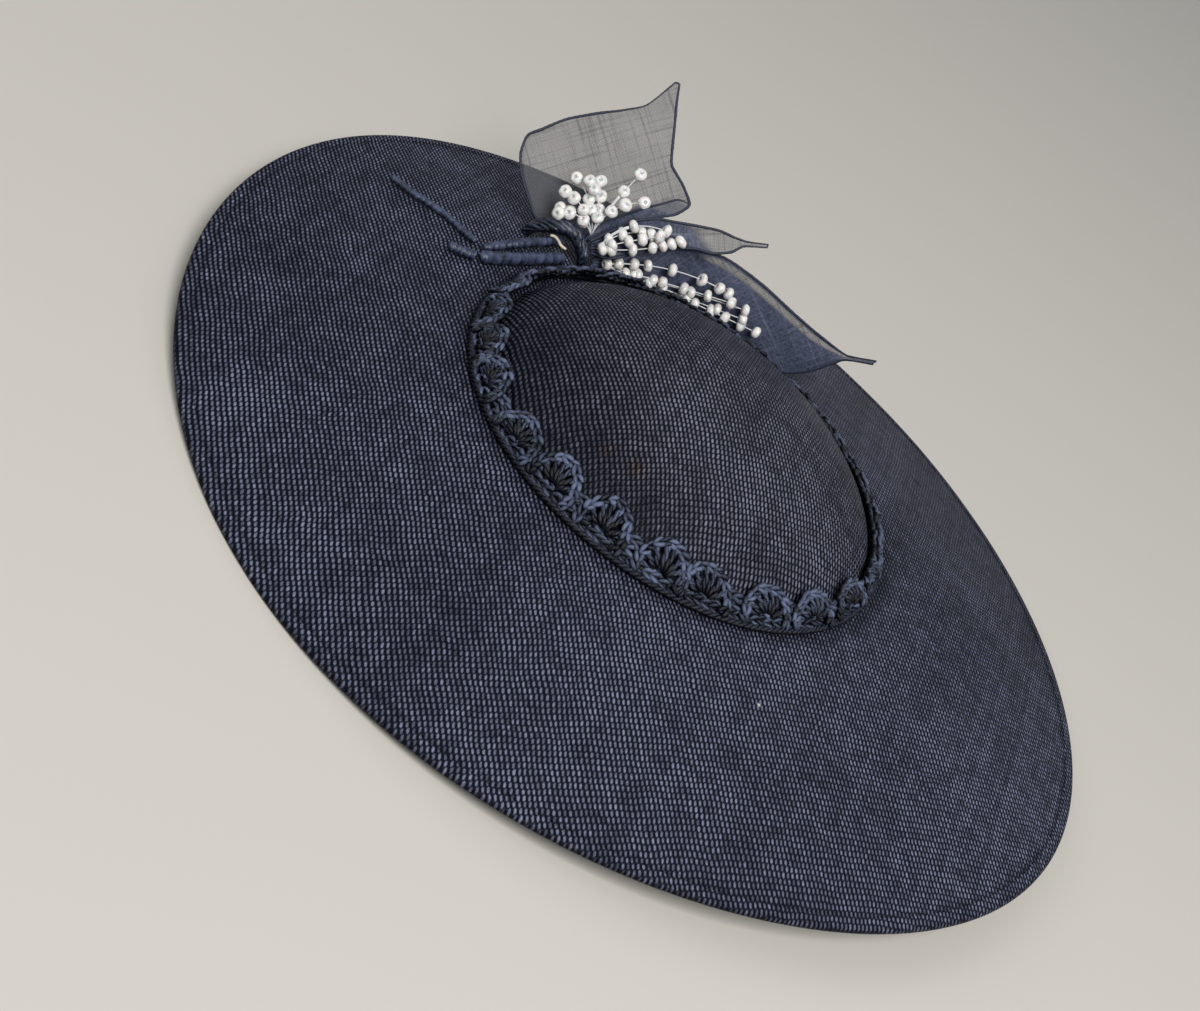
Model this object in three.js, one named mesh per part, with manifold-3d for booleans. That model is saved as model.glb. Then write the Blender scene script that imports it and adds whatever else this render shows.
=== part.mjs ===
// Saucer fascinator: a shallow woven hat with a wide warped brim, a low dome, a crochet braid
// round the dome, organza petals, sprays of pearl beads and wrapped stems at the back left.
// Millimetres, +Z up, the rim resting on z = 0, the dome's front towards -Y.

import * as THREE from 'three';
import { mergeVertices } from 'three/addons/utils/BufferGeometryUtils.js';
import Module from 'manifold-3d';

const deg = Math.PI / 180;
const seatGap = 0.3; // between pieces that touch on the real hat

// Brim
const brimRadius = 190;
const seatRadius = 90; // flat ledge round the dome that the braid sits on
const seatHeight = 27.7; // top of that ledge above the table
const crownOffsetX = -5.5; // the dome stands slightly left of the rim's centre
const strawThickness = 1.6;
const hemWidth = 4.6;
const hemThickness = 2.8;
const hemCornerDrop = 0.7;
const brimSteps = 72;
const brimFallPower = 1.15; // above 1 the brim falls faster towards the rim
// The rim isn't flat: two lows opposite each other, lifted sides, and one side a little higher.
const rimWaves = [
  { lift: 5.6, times: 2, highAt: 151 },
  { lift: 2.0, times: 3, highAt: 60 },
  { lift: 2.0, times: 1, highAt: 243 },
];
const rimBase = 5.75;
const restFlat = 0.25; // the hem's lowest stretches lie flat within this height

// Dome
const domeRadius = 81.5;
const domeHeight = 31.2;
const domeFullness = 1.6; // 2 is an ellipse, 1 is a cone
const apexShiftX = -3;
const apexShiftY = 5;
const domeCollar = 4; // goes down through the brim's opening
const domeSteps = 48;
const domeRows = 9;

// Braid
const fanCount = 24;
const fanPhase = 11.8; // degrees round the dome to the middle of the first fan
const stepsPerFan = 4;
const braidLow = 5; // climb up the dome between two fans
const braidHigh = 9.8; // climb at the middle of a fan
const braidThickness = 3.2;

// Trim
const trimRoot = new THREE.Vector3(-80, 60, 33.7); // where petals and sprays are gathered
const trimLean = 33; // degrees back from upright
const organzaThickness = 1.0;
const rolledEdge = 1.7;
const threadRadius = 0.45;
const stalkRadius = 0.8; // the stiffer white stems in two of the sprays
const beadRadius = 2.65;
const beadLength = 3.6;
const beadSides = 5;
const knotRadius = 1.1; // where the threads of a spray are tied together
const knotLength = 2.2;

// Comb, plain, hidden inside the dome's front
const combWidth = 56;
const combSpine = 7;
const combTeethLength = 27;
const combTeeth = 13;
const combToothShare = 0.45; // of the pitch
const combThickness = 1.6;
const combRise = 0.45; // per millimetre of tooth, under the dome's slope
const combRun = 0.89; // inwards per millimetre of tooth

const colours = {
  straw: 0x2b3247,
  braid: 0x1d2334,
  organza: 0x39404f,
  cord: 0x20273a,
  bead: 0xece9e4,
  cream: 0xd8cbb5,
  comb: 0x15171c,
};

const group = new THREE.Group();

function add(name, geometry, colour, roughness) {
  geometry.computeVertexNormals();
  const material = new THREE.MeshStandardMaterial({ color: colour, roughness, metalness: 0 });
  const mesh = new THREE.Mesh(geometry, material);
  mesh.name = name;
  group.add(mesh);
}

function bodyFrom(points, triangles) {
  const geometry = new THREE.BufferGeometry();
  const coordinates = points.flatMap((p) => [p.x, p.y, p.z]);
  geometry.setAttribute('position', new THREE.Float32BufferAttribute(coordinates, 3));
  geometry.setIndex(triangles.flat());
  return geometry;
}

// A ring: loopAt(step) gives one closed section.
function ringBody(steps, loopAt) {
  const points = [];
  const triangles = [];
  let loopLength = 0;
  for (let i = 0; i < steps; i += 1) {
    const loop = loopAt(i);
    loopLength = loop.length;
    points.push(...loop);
  }
  for (let i = 0; i < steps; i += 1) {
    const here = i * loopLength;
    const next = ((i + 1) % steps) * loopLength;
    for (let j = 0; j < loopLength; j += 1) {
      const k = (j + 1) % loopLength;
      triangles.push([here + j, next + j, next + k], [here + j, next + k, here + k]);
    }
  }
  return bodyFrom(points, triangles);
}

// A capped shell: rowAt(row, step) gives the rings from the outer top round the edge to the inner top.
function domeBody(rows, steps, outerTop, innerTop, rowAt) {
  const points = [outerTop, innerTop];
  const triangles = [];
  for (let r = 0; r < rows; r += 1) {
    for (let i = 0; i < steps; i += 1) points.push(rowAt(r, i));
  }
  const index = (r, i) => 2 + r * steps + (i % steps);
  for (let i = 0; i < steps; i += 1) {
    triangles.push([0, index(0, i), index(0, i + 1)]);
    triangles.push([1, index(rows - 1, i + 1), index(rows - 1, i)]);
    for (let r = 0; r < rows - 1; r += 1) {
      triangles.push([index(r, i), index(r + 1, i), index(r + 1, i + 1)]);
      triangles.push([index(r, i), index(r + 1, i + 1), index(r, i + 1)]);
    }
  }
  return bodyFrom(points, triangles);
}

// A sheet of cloth: middle(u, v) is its middle surface, thick(u, v) its thickness there.
function sheetBody(rows, columns, middle, thick) {
  const points = [];
  const triangles = [];
  const small = 0.001;
  for (const side of [1, -1]) {
    for (let r = 0; r <= rows; r += 1) {
      for (let c = 0; c <= columns; c += 1) {
        const v = r / rows;
        const u = c / columns;
        const along = middle(u, Math.min(v + small, 1)).sub(middle(u, Math.max(v - small, 0)));
        const across = middle(Math.min(u + small, 1), v).sub(middle(Math.max(u - small, 0), v));
        const normal = across.cross(along).normalize();
        points.push(middle(u, v).addScaledVector(normal, side * thick(u, v) / 2));
      }
    }
  }
  const count = (rows + 1) * (columns + 1);
  const index = (side, r, c) => side * count + r * (columns + 1) + c;
  for (let r = 0; r < rows; r += 1) {
    for (let c = 0; c < columns; c += 1) {
      triangles.push([index(0, r, c), index(0, r, c + 1), index(0, r + 1, c + 1)]);
      triangles.push([index(0, r, c), index(0, r + 1, c + 1), index(0, r + 1, c)]);
      triangles.push([index(1, r, c), index(1, r + 1, c + 1), index(1, r, c + 1)]);
      triangles.push([index(1, r, c), index(1, r + 1, c), index(1, r + 1, c + 1)]);
    }
  }
  const border = [];
  for (let c = 0; c < columns; c += 1) border.push([[0, c], [0, c + 1]], [[rows, c + 1], [rows, c]]);
  for (let r = 0; r < rows; r += 1) border.push([[r, columns], [r + 1, columns]], [[r + 1, 0], [r, 0]]);
  for (const [a, b] of border) {
    triangles.push([index(0, ...a), index(1, ...a), index(1, ...b)]);
    triangles.push([index(0, ...a), index(1, ...b), index(0, ...b)]);
  }
  return bodyFrom(points, triangles);
}

// A rolled cord: a many-sided section swept along a smooth path.
function cordBody(points, radius, sides, steps) {
  const section = new THREE.Shape();
  for (let i = 0; i < sides; i += 1) {
    const turn = (i / sides) * 2 * Math.PI;
    const x = radius * Math.cos(turn);
    const y = radius * Math.sin(turn);
    if (i === 0) section.moveTo(x, y);
    else section.lineTo(x, y);
  }
  section.closePath();
  const path = new THREE.CatmullRomCurve3(points, false, 'centripetal');
  return welded(new THREE.ExtrudeGeometry(section, { steps, extrudePath: path, curveSegments: 1 }));
}

// Shared vertices, with the triangles that collapse to a line taken out.
function welded(geometry) {
  geometry.deleteAttribute('normal');
  geometry.deleteAttribute('uv');
  const merged = mergeVertices(geometry, 1e-4);
  const kept = [];
  for (let i = 0; i < merged.index.count; i += 3) {
    const [a, b, c] = [merged.index.getX(i), merged.index.getX(i + 1), merged.index.getX(i + 2)];
    if (a !== b && b !== c && c !== a) kept.push(a, b, c);
  }
  merged.setIndex(kept);
  return merged;
}

const wasm = await Module();
wasm.setup();

function solidOf(geometry) {
  const mesh = new wasm.Mesh({
    numProp: 3,
    vertProperties: new Float32Array(geometry.attributes.position.array),
    triVerts: new Uint32Array(geometry.index.array),
  });
  return new wasm.Manifold(mesh);
}

function geometryOf(solid) {
  const mesh = solid.getMesh();
  const geometry = new THREE.BufferGeometry();
  geometry.setAttribute('position', new THREE.BufferAttribute(new Float32Array(mesh.vertProperties), 3));
  geometry.setIndex(new THREE.BufferAttribute(new Uint32Array(mesh.triVerts), 1));
  return geometry;
}

function joined(geometries) {
  const solids = geometries.map(solidOf);
  return geometryOf(solids.reduce((whole, next) => whole.add(next)).simplify(0.03));
}

function rimHeight(turn) {
  let height = rimBase;
  for (const wave of rimWaves) height += wave.lift * Math.cos(wave.times * (turn - wave.highAt * deg));
  return height < restFlat ? 0 : height - restFlat * Math.exp(-(height - restFlat) / 2);
}

// fall runs from 0 at the ledge round the dome to 1 at the rim
function brimPoint(turn, fall, height) {
  const reach = seatRadius + fall * (brimRadius - seatRadius);
  const middleX = crownOffsetX * (1 - Math.max(fall, 0));
  return new THREE.Vector3(middleX + reach * Math.cos(turn), reach * Math.sin(turn), height);
}

function brimTop(turn, fall) {
  const drop = Math.max(fall, 0) ** brimFallPower;
  return seatHeight * (1 - drop) + (rimHeight(turn) + 0.6 + strawThickness) * drop;
}

// Height of the brim's upper face under a point given in plan.
function brimTopAt(x, y) {
  const turn = Math.atan2(y, x);
  let fall = 0;
  for (let i = 0; i < 8; i += 1) {
    const reach = Math.hypot(x - crownOffsetX * (1 - fall), y);
    fall = THREE.MathUtils.clamp((reach - seatRadius) / (brimRadius - seatRadius), 0, 1);
  }
  return brimTop(turn, fall);
}

const hemFall = 1 - hemWidth / (brimRadius - seatRadius);
const hemStep = 0.4 / (brimRadius - seatRadius);
const openingFall = (domeRadius + seatGap + 0.1 - seatRadius) / (brimRadius - seatRadius);
const brimFalls = [0, 0.2, 0.4, 0.6, 0.8, hemFall - hemStep];
const cornerFall = 1 - hemCornerDrop / (brimRadius - seatRadius);

function brimSection(step) {
  const turn = (step / brimSteps) * 2 * Math.PI;
  const low = rimHeight(turn);
  const high = low + hemThickness;
  const upper = brimFalls.map((fall) => brimPoint(turn, fall, brimTop(turn, fall)));
  const lower = brimFalls.map((fall) => brimPoint(turn, fall, brimTop(turn, fall) - strawThickness));
  return [
    brimPoint(turn, openingFall, seatHeight),
    ...upper,
    brimPoint(turn, hemFall, high - 0.3),
    brimPoint(turn, cornerFall, high),
    brimPoint(turn, 1, high - hemCornerDrop),
    brimPoint(turn, 1, low + hemCornerDrop),
    brimPoint(turn, cornerFall, low),
    brimPoint(turn, hemFall, low),
    ...lower.reverse(),
    brimPoint(turn, openingFall, seatHeight - strawThickness),
  ].reverse();
}

add('saucer_brim', ringBody(brimSteps, brimSection), colours.straw, 0.75);

// climb is the height above the ledge; out is measured level, away from the dome's middle.
function domeRadiusAt(climb) {
  const share = THREE.MathUtils.clamp(climb / domeHeight, 0, 1);
  return domeRadius * (1 - share ** domeFullness) ** (1 / domeFullness);
}

function domePoint(turn, climb, out) {
  const share = THREE.MathUtils.clamp(climb / domeHeight, 0, 1);
  const reach = domeRadiusAt(climb) + out;
  return new THREE.Vector3(
    crownOffsetX + apexShiftX * share + reach * Math.cos(turn),
    apexShiftY * share + reach * Math.sin(turn),
    seatHeight + climb,
  );
}

// Rows down the outside, along the collar's edge and up the inside.
function domeRow(row, step) {
  const turn = (step / domeSteps) * 2 * Math.PI;
  const rising = row < domeRows ? row + 1 : 2 * domeRows + 2 - row;
  const angle = (1 - rising / domeRows) * (Math.PI / 2);
  const power = 2 / domeFullness;
  if (row === domeRows || row === domeRows + 1) {
    const inset = row === domeRows ? 0 : strawThickness;
    return domePoint(turn, 0, -inset).setZ(seatHeight - domeCollar);
  }
  const climb = domeHeight * Math.sin(angle) ** power;
  if (row < domeRows) return domePoint(turn, climb, 0);
  // the wall's thickness is taken square to the slope
  const slope = Math.atan2(domeHeight * Math.cos(angle), domeRadius * Math.sin(angle));
  const point = domePoint(turn, climb, -strawThickness * Math.sin(slope));
  point.z -= strawThickness * Math.cos(slope);
  return point;
}

const domeTop = new THREE.Vector3(crownOffsetX + apexShiftX, apexShiftY, seatHeight + domeHeight);
const domeInnerTop = domeTop.clone().setZ(domeTop.z - strawThickness);
add('crown_dome', domeBody(2 * domeRows + 2, domeSteps, domeTop, domeInnerTop, domeRow), colours.straw, 0.75);

// One section of the braid, whose upper edge rises and falls with the crochet fans.
function braidSection(step) {
  const share = step / stepsPerFan; // in fans, from the middle of the first one
  const turn = (fanPhase + (share * 360) / fanCount) * deg;
  const fan = Math.abs(Math.cos(share * Math.PI));
  const top = braidLow + (braidHigh - braidLow) * fan ** 0.7;
  const clear = seatGap + 1.2; // the dome's slope spreads the gap sideways
  const foot = (out) => domePoint(turn, 0, out).setZ(seatHeight + seatGap);
  return [
    foot(seatGap),
    foot(seatRadius - domeRadius - 0.2),
    domePoint(turn, 2.2, seatRadius - domeRadius + 0.6),
    domePoint(turn, top * 0.55, braidThickness + 2.2),
    domePoint(turn, top, braidThickness),
    domePoint(turn, top + 0.5, clear),
    domePoint(turn, top * 0.5, clear),
    domePoint(turn, 1.2, seatGap + 0.4),
  ];
}

add('crochet_braid', ringBody(fanCount * stepsPerFan, braidSection), colours.braid, 0.6);

// A point in a leaning plane through the trim's root: across, rise up the lean, forward out of it.
function trimPoint(across, rise, forward, yaw) {
  const lean = trimLean * deg;
  const right = new THREE.Vector3(1, 0, 0);
  const up = new THREE.Vector3(0, Math.sin(lean), Math.cos(lean));
  const out = new THREE.Vector3(0, -Math.cos(lean), Math.sin(lean));
  const step = right.multiplyScalar(across).addScaledVector(up, rise).addScaledVector(out, forward);
  return step.applyAxisAngle(new THREE.Vector3(0, 0, 1), yaw * deg).add(trimRoot);
}

// Values of a table's column between its rows, smoothed.
function columnAt(rows, column, v) {
  const place = v * (rows.length - 1);
  const i = Math.min(Math.floor(place), rows.length - 2);
  const f = place - i;
  const at = (k) => rows[THREE.MathUtils.clamp(k, 0, rows.length - 1)][column];
  const [a, b, c, d] = [at(i - 1), at(i), at(i + 1), at(i + 2)];
  const tension = 0.35;
  const m1 = (c - a) * tension;
  const m2 = (d - b) * tension;
  const level = b * (1 - f) ** 2 * (1 + 2 * f) + c * f ** 2 * (3 - 2 * f);
  return level + m1 * f * (1 - f) ** 2 - m2 * f ** 2 * (1 - f);
}

// Each row crosses the petal from its left edge to its right edge, from the gathered foot to the tail.
const upperPetal = [
  { leftAcross: -7.5, leftRise: 2.0, rightAcross: -3, rightRise: 5, forward: -2.6, billow: 0 },
  { leftAcross: -23.3, leftRise: -0.5, rightAcross: 0.5, rightRise: 12.5, forward: -5, billow: 1 },
  { leftAcross: -31, leftRise: 3.6, rightAcross: 6.5, rightRise: 21, forward: -5, billow: 4 },
  { leftAcross: -40, leftRise: 9.9, rightAcross: 13, rightRise: 29.8, forward: -5, billow: 4 },
  { leftAcross: -45.5, leftRise: 16.5, rightAcross: 17.6, rightRise: 34.8, forward: -5, billow: 3 },
  { leftAcross: -47.5, leftRise: 23.5, rightAcross: 19.5, rightRise: 41, forward: -5, billow: 2 },
  { leftAcross: -44.5, leftRise: 29, rightAcross: 12.8, rightRise: 45.4, forward: -5, billow: 1 },
  { leftAcross: -39, leftRise: 38.5, rightAcross: 4.8, rightRise: 48.8, forward: -5, billow: -1 },
  { leftAcross: -31.7, leftRise: 46.6, rightAcross: 1.5, rightRise: 53, forward: -5, billow: -2 },
  { leftAcross: -23.8, leftRise: 54.5, rightAcross: -4.2, rightRise: 62, forward: -5, billow: -1 },
  { leftAcross: -17.7, leftRise: 61.9, rightAcross: -9, rightRise: 69.5, forward: -5, billow: 0 },
  { leftAcross: -14.3, leftRise: 75.6, rightAcross: -12.7, rightRise: 76.1, forward: -5, billow: 0 },
];
const middlePetal = [
  { leftAcross: -1.6, leftRise: 5.4, rightAcross: 1, rightRise: 1.6, forward: -0.3, billow: 0 },
  { leftAcross: 3, leftRise: 13, rightAcross: 8.5, rightRise: 3.8, forward: 0.5, billow: 1 },
  { leftAcross: 9.5, leftRise: 22, rightAcross: 16.6, rightRise: 11.7, forward: 0.5, billow: 2 },
  { leftAcross: 16, leftRise: 27, rightAcross: 23, rightRise: 17.2, forward: 0.5, billow: 2 },
  { leftAcross: 23, leftRise: 30, rightAcross: 28.6, rightRise: 21.7, forward: 0.5, billow: 1.5 },
  { leftAcross: 31, leftRise: 33.5, rightAcross: 35, rightRise: 25.5, forward: 0.5, billow: 1 },
  { leftAcross: 39, leftRise: 36.6, rightAcross: 42, rightRise: 28, forward: 0.5, billow: 0.5 },
  { leftAcross: 45.4, leftRise: 37.6, rightAcross: 47.6, rightRise: 32.2, forward: 0.5, billow: 0 },
  { leftAcross: 50.7, leftRise: 39, rightAcross: 50.6, rightRise: 36.8, forward: 0.5, billow: 0 },
  { leftAcross: 58.4, leftRise: 42.7, rightAcross: 58.6, rightRise: 41.4, forward: 0.5, billow: 0 },
];
// The lower petal stands on the brim and follows the dome: turn is its angle round the dome,
// foot and head are heights above the ledge, out is its distance from the dome's middle.
const lowerPetal = [
  { turn: 137.2, foot: 0.1, head: 4.8, out: 97.6 },
  { turn: 133, foot: -0.4, head: 7.5, out: 97.8 },
  { turn: 127, foot: -0.4, head: 12, out: 98 },
  { turn: 118, foot: -0.4, head: 20, out: 98.4 },
  { turn: 109, foot: -0.4, head: 25, out: 98.6 },
  { turn: 97.5, foot: -0.4, head: 24, out: 98.4 },
  { turn: 88, foot: -0.4, head: 22.2, out: 98.2 },
  { turn: 81, foot: -0.2, head: 22, out: 98.2 },
  { turn: 76, foot: 8.5, head: 22.6, out: 98.4 },
  { turn: 73, foot: 17.5, head: 23.4, out: 98.6 },
  { turn: 71.3, foot: 22.5, head: 24.6, out: 98.6 },
  { turn: 65.6, foot: 30.2, head: 31.4, out: 99 },
];

function organza(u, v) {
  const edge = Math.min(u, 1 - u, 1 - v);
  return edge < 0.06 ? rolledEdge : organzaThickness;
}

function plainPetal(rows, yaw) {
  return (u, v) => {
    const across = columnAt(rows, 'leftAcross', v) * (1 - u) + columnAt(rows, 'rightAcross', v) * u;
    const rise = columnAt(rows, 'leftRise', v) * (1 - u) + columnAt(rows, 'rightRise', v) * u;
    const billow = columnAt(rows, 'billow', v) * Math.sin(Math.PI * u);
    return trimPoint(across, rise, columnAt(rows, 'forward', v) - billow, yaw);
  };
}

function standingPetal(rows) {
  return (u, v) => {
    const turn = columnAt(rows, 'turn', v) * deg;
    const climb = columnAt(rows, 'foot', v) * (1 - u) + columnAt(rows, 'head', v) * u;
    const reach = columnAt(rows, 'out', v) + 1.5 * u - 1.2 * Math.sin(Math.PI * u);
    const x = crownOffsetX + reach * Math.cos(turn);
    return new THREE.Vector3(x, reach * Math.sin(turn), seatHeight + climb);
  };
}

add('petal_upper', sheetBody(18, 6, plainPetal(upperPetal, 0), organza), colours.organza, 0.5);
add('petal_middle', sheetBody(14, 5, plainPetal(middlePetal, 10), organza), colours.organza, 0.5);
add('petal_lower', sheetBody(18, 5, standingPetal(lowerPetal), organza), colours.organza, 0.5);

// Stems, binding and thread: lift is the height of the centre line above the brim.

const cords = {
  stem_lower: {
    radius: 2.5,
    sides: 10,
    points: [
      { x: -107.4, y: 15.4, lift: 2.9 },
      { x: -99.4, y: 26.9, lift: 2.9 },
      { x: -93.0, y: 38.4, lift: 3.0 },
      { x: -86.0, y: 51.5, lift: 3.2 },
    ],
  },
  stem_upper: {
    radius: 1.9,
    sides: 10,
    points: [
      { x: -109.6, y: 24.4, lift: 2.4 },
      { x: -105.8, y: 30.3, lift: 3.6 },
      { x: -99.7, y: 39.4, lift: 6.0 },
      { x: -92.8, y: 53.3, lift: 6.5 },
      { x: -90.4, y: 57.8, lift: 6.5 },
    ],
  },
  quill_cord: {
    radius: 1.4,
    sides: 8,
    points: [
      { x: -155.9, y: 35.5, lift: 2.4 },
      { x: -145.3, y: 32.2, lift: 2.6 },
      { x: -136.6, y: 32.0, lift: 2.4 },
      { x: -127.4, y: 30.9, lift: 2.0 },
      { x: -120.3, y: 28.0, lift: 1.9 },
      { x: -113.8, y: 24.8, lift: 2.4 },
    ],
  },
  stem_end: {
    radius: 1.9,
    sides: 10,
    points: [
      { x: -118.9, y: 11.3, lift: 2.3 },
      { x: -115.4, y: 12.1, lift: 2.4 },
      { x: -112.3, y: 12.8, lift: 2.5 },
      { x: -108.9, y: 14.4, lift: 2.8 },
    ],
  },
  cream_thread: {
    radius: 0.55,
    sides: 6,
    points: [
      { x: -94.9, y: 51.6, lift: 9.0 },
      { x: -93.2, y: 51.7, lift: 9.5 },
      { x: -91.0, y: 50.3, lift: 9.5 },
      { x: -89.0, y: 48.3, lift: 9.3 },
      { x: -86.6, y: 49.2, lift: 8.6 },
    ],
  },
  trim_binding: {
    radius: 2.0,
    sides: 10,
    points: [
      { x: -104.8, y: 59.5, lift: 1.35 },
      { x: -102.4, y: 58.4, lift: 6.5 },
      { x: -95.6, y: 58.6, lift: 11.0 },
      { x: -89.8, y: 60.4, lift: 11.5 },
      { x: -84.7, y: 60.9, lift: 8.9 },
      { x: -81.0, y: 60.1, lift: 5.4 },
      { x: -79.6, y: 60.4, lift: 1.35 },
    ],
  },
};

for (const [name, cord] of Object.entries(cords)) {
  const path = cord.points.map((p) => new THREE.Vector3(p.x, p.y, brimTopAt(p.x, p.y) + p.lift));
  const colour = name === 'cream_thread' ? colours.cream : colours.cord;
  add(name, cordBody(path, cord.radius, cord.sides, 2 * cord.points.length + 2), colour, 0.6);
}

// Bead sprays: each thread runs from the root to its tip with a sideways bow, with its beads at
// shares of its length.
const upperSpray = {
  yaw: 0,
  root: { across: -3.3, rise: 7.2, forward: -0.6 },
  threads: [
    { across: -18, rise: 5.6, forward: 5.4, bow: -3.4, beads: [0.36, 0.76, 1] },
    { across: -19, rise: 8, forward: 2, bow: -2.1, beads: [0.36, 0.77, 1] },
    { across: -21, rise: 14, forward: 6, bow: -2.5, beads: [0.5, 0.8, 1] },
    { across: -21, rise: 21, forward: 3, bow: -2.7, beads: [0.42, 0.6, 1] },
    { across: -16, rise: 23, forward: 6, bow: -3.2, beads: [0.32, 0.84, 1] },
    { across: -13, rise: 26, forward: 2, bow: -1.1, beads: [0.48, 0.73, 1] },
    { across: -2, rise: 37, forward: 5, bow: 0.9, beads: [0.7, 1], stalk: 0.62 },
    { across: 6, rise: 29, forward: 7, bow: 3.6, beads: [0.47, 0.72, 1] },
  ],
};
const middleSpray = {
  yaw: 10,
  root: { across: 2, rise: 4, forward: 3.5 },
  threads: [
    { across: 21, rise: 24, forward: 7, bow: 5.0, beads: [0.57, 1], stalk: 0.5 },
    { across: 17, rise: 20, forward: 4, bow: 3.0, beads: [0.24, 0.5, 0.84, 1] },
    { across: 20, rise: 21, forward: 7, bow: 0.4, beads: [0.24, 0.5, 0.72, 1] },
    { across: 28, rise: 24, forward: 5, bow: -1.6, beads: [0.06, 0.17, 0.42, 0.66, 0.78, 0.89, 1] },
  ],
};
// The lower threads follow the dome just in front of the lower petal.
const lowerSpray = {
  root: { turn: 136, climb: 4.2, out: 94 },
  threads: [
    { turn: 103.5, climb: 15.9, out: 93, bow: 2.5, beads: [0.34, 0.53, 0.77, 0.92, 1] },
    { turn: 101.6, climb: 13.4, out: 92, bow: -2.4, beads: [0.29, 0.49, 0.65, 0.83, 1] },
    { turn: 97.5, climb: 13.2, out: 94, bow: -3.0, beads: [0.23, 0.38, 0.64, 1] },
    { turn: 96.7, climb: 9.3, out: 93.6, bow: -3.2, beads: [0.18, 0.46, 0.63, 0.83, 1] },
    { turn: 92.1, climb: 8.0, out: 93.8, bow: -3.0, beads: [0.32, 0.62, 0.72, 0.81, 0.91, 1] },
    { turn: 128, climb: 8.3, out: 94.6, bow: 0.3, beads: [0.14, 0.5, 1] },
  ],
};

function leaningThread(spray, thread) {
  const across = thread.across - spray.root.across;
  const rise = thread.rise - spray.root.rise;
  const length = Math.hypot(across, rise);
  return (s) => {
    const bow = (4 * s * (1 - s) * thread.bow) / length;
    return trimPoint(
      spray.root.across + s * across - bow * rise,
      spray.root.rise + s * rise + bow * across,
      spray.root.forward + Math.sqrt(s) * (thread.forward - spray.root.forward),
      spray.yaw,
    );
  };
}

function roundDomeThread(spray, thread) {
  const between = (key, s) => spray.root[key] + s * (thread[key] - spray.root[key]);
  return (s) => {
    const turn = between('turn', s) * deg;
    const climb = between('climb', s) + 4 * s * (1 - s) * thread.bow;
    const reach = between('out', s);
    const x = crownOffsetX + reach * Math.cos(turn);
    return new THREE.Vector3(x, reach * Math.sin(turn), seatHeight + climb);
  };
}

function barrelBody(centre, along, radius, length, sides) {
  const half = length / 2;
  const profile = [
    new THREE.Vector2(0, -half),
    new THREE.Vector2(radius, -half * 0.5),
    new THREE.Vector2(radius, half * 0.5),
    new THREE.Vector2(0, half),
  ];
  const bead = welded(new THREE.LatheGeometry(profile, sides));
  const turn = new THREE.Quaternion().setFromUnitVectors(new THREE.Vector3(0, 1, 0), along);
  return bead.applyQuaternion(turn).translate(centre.x, centre.y, centre.z);
}

function sprayBody(spray, pathOf, steps) {
  const root = pathOf(spray, spray.threads[0]);
  const outwards = root(0.1).sub(root(0)).normalize();
  const bodies = [barrelBody(root(0), outwards, knotRadius, knotLength, 7)];
  for (const thread of spray.threads) {
    const at = pathOf(spray, thread);
    const points = Array.from({ length: steps + 1 }, (_, i) => at(i / steps));
    bodies.push(cordBody(points, threadRadius, 4, steps));
    if (thread.stalk) {
      const stalk = [at(0), at(thread.stalk / 2), at(thread.stalk)];
      bodies.push(cordBody(stalk, stalkRadius, 6, 2));
    }
    for (const s of thread.beads) {
      const along = at(Math.min(s + 0.02, 1)).sub(at(Math.max(s - 0.02, 0))).normalize();
      bodies.push(barrelBody(at(s), along, beadRadius, beadLength, beadSides));
    }
  }
  return joined(bodies);
}

add('bead_spray_upper', sprayBody(upperSpray, leaningThread, 4), colours.bead, 0.25);
add('bead_spray_middle', sprayBody(middleSpray, leaningThread, 4), colours.bead, 0.25);
add('bead_spray_lower', sprayBody(lowerSpray, roundDomeThread, 6), colours.bead, 0.25);

function combOutline() {
  const pitch = combWidth / combTeeth;
  const outline = new THREE.Shape();
  outline.moveTo(-combWidth / 2, 0);
  for (let i = 1; i <= combTeeth; i += 1) outline.lineTo(-combWidth / 2 + i * pitch, 0);
  for (let i = combTeeth - 1; i >= 0; i -= 1) {
    const left = -combWidth / 2 + i * pitch + (pitch * (1 - combToothShare)) / 2;
    const right = left + pitch * combToothShare;
    outline.lineTo(right, combSpine);
    outline.lineTo(right - pitch * 0.08, combSpine + combTeethLength);
    outline.lineTo(left + pitch * 0.08, combSpine + combTeethLength);
    outline.lineTo(left, combSpine);
  }
  outline.closePath();
  return outline;
}

// The comb is bent to lie along the inside of the dome's front.
function combBody() {
  const flat = new THREE.ExtrudeGeometry(combOutline(), { depth: combThickness, bevelEnabled: false });
  const comb = welded(flat);
  const position = comb.attributes.position;
  for (let i = 0; i < position.count; i += 1) {
    const turn = -90 * deg + position.getX(i) / domeRadius;
    const up = position.getY(i);
    const teeth = Math.max(up - combSpine, 0);
    const inset = strawThickness + seatGap + 0.25 + combThickness - position.getZ(i);
    const out = -(inset + teeth * combRun);
    const x = crownOffsetX + (domeRadius + out) * Math.cos(turn);
    const y = (domeRadius + out) * Math.sin(turn);
    const z = seatHeight - domeCollar + 0.5 + Math.min(up, combSpine) * 0.5 + teeth * combRise;
    position.setXYZ(i, x, y, z);
  }
  return comb;
}

add('comb', combBody(), colours.comb, 0.4);

export default group;
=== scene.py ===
import math
import random

import bpy
from mathutils import Matrix, Vector, noise


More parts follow.
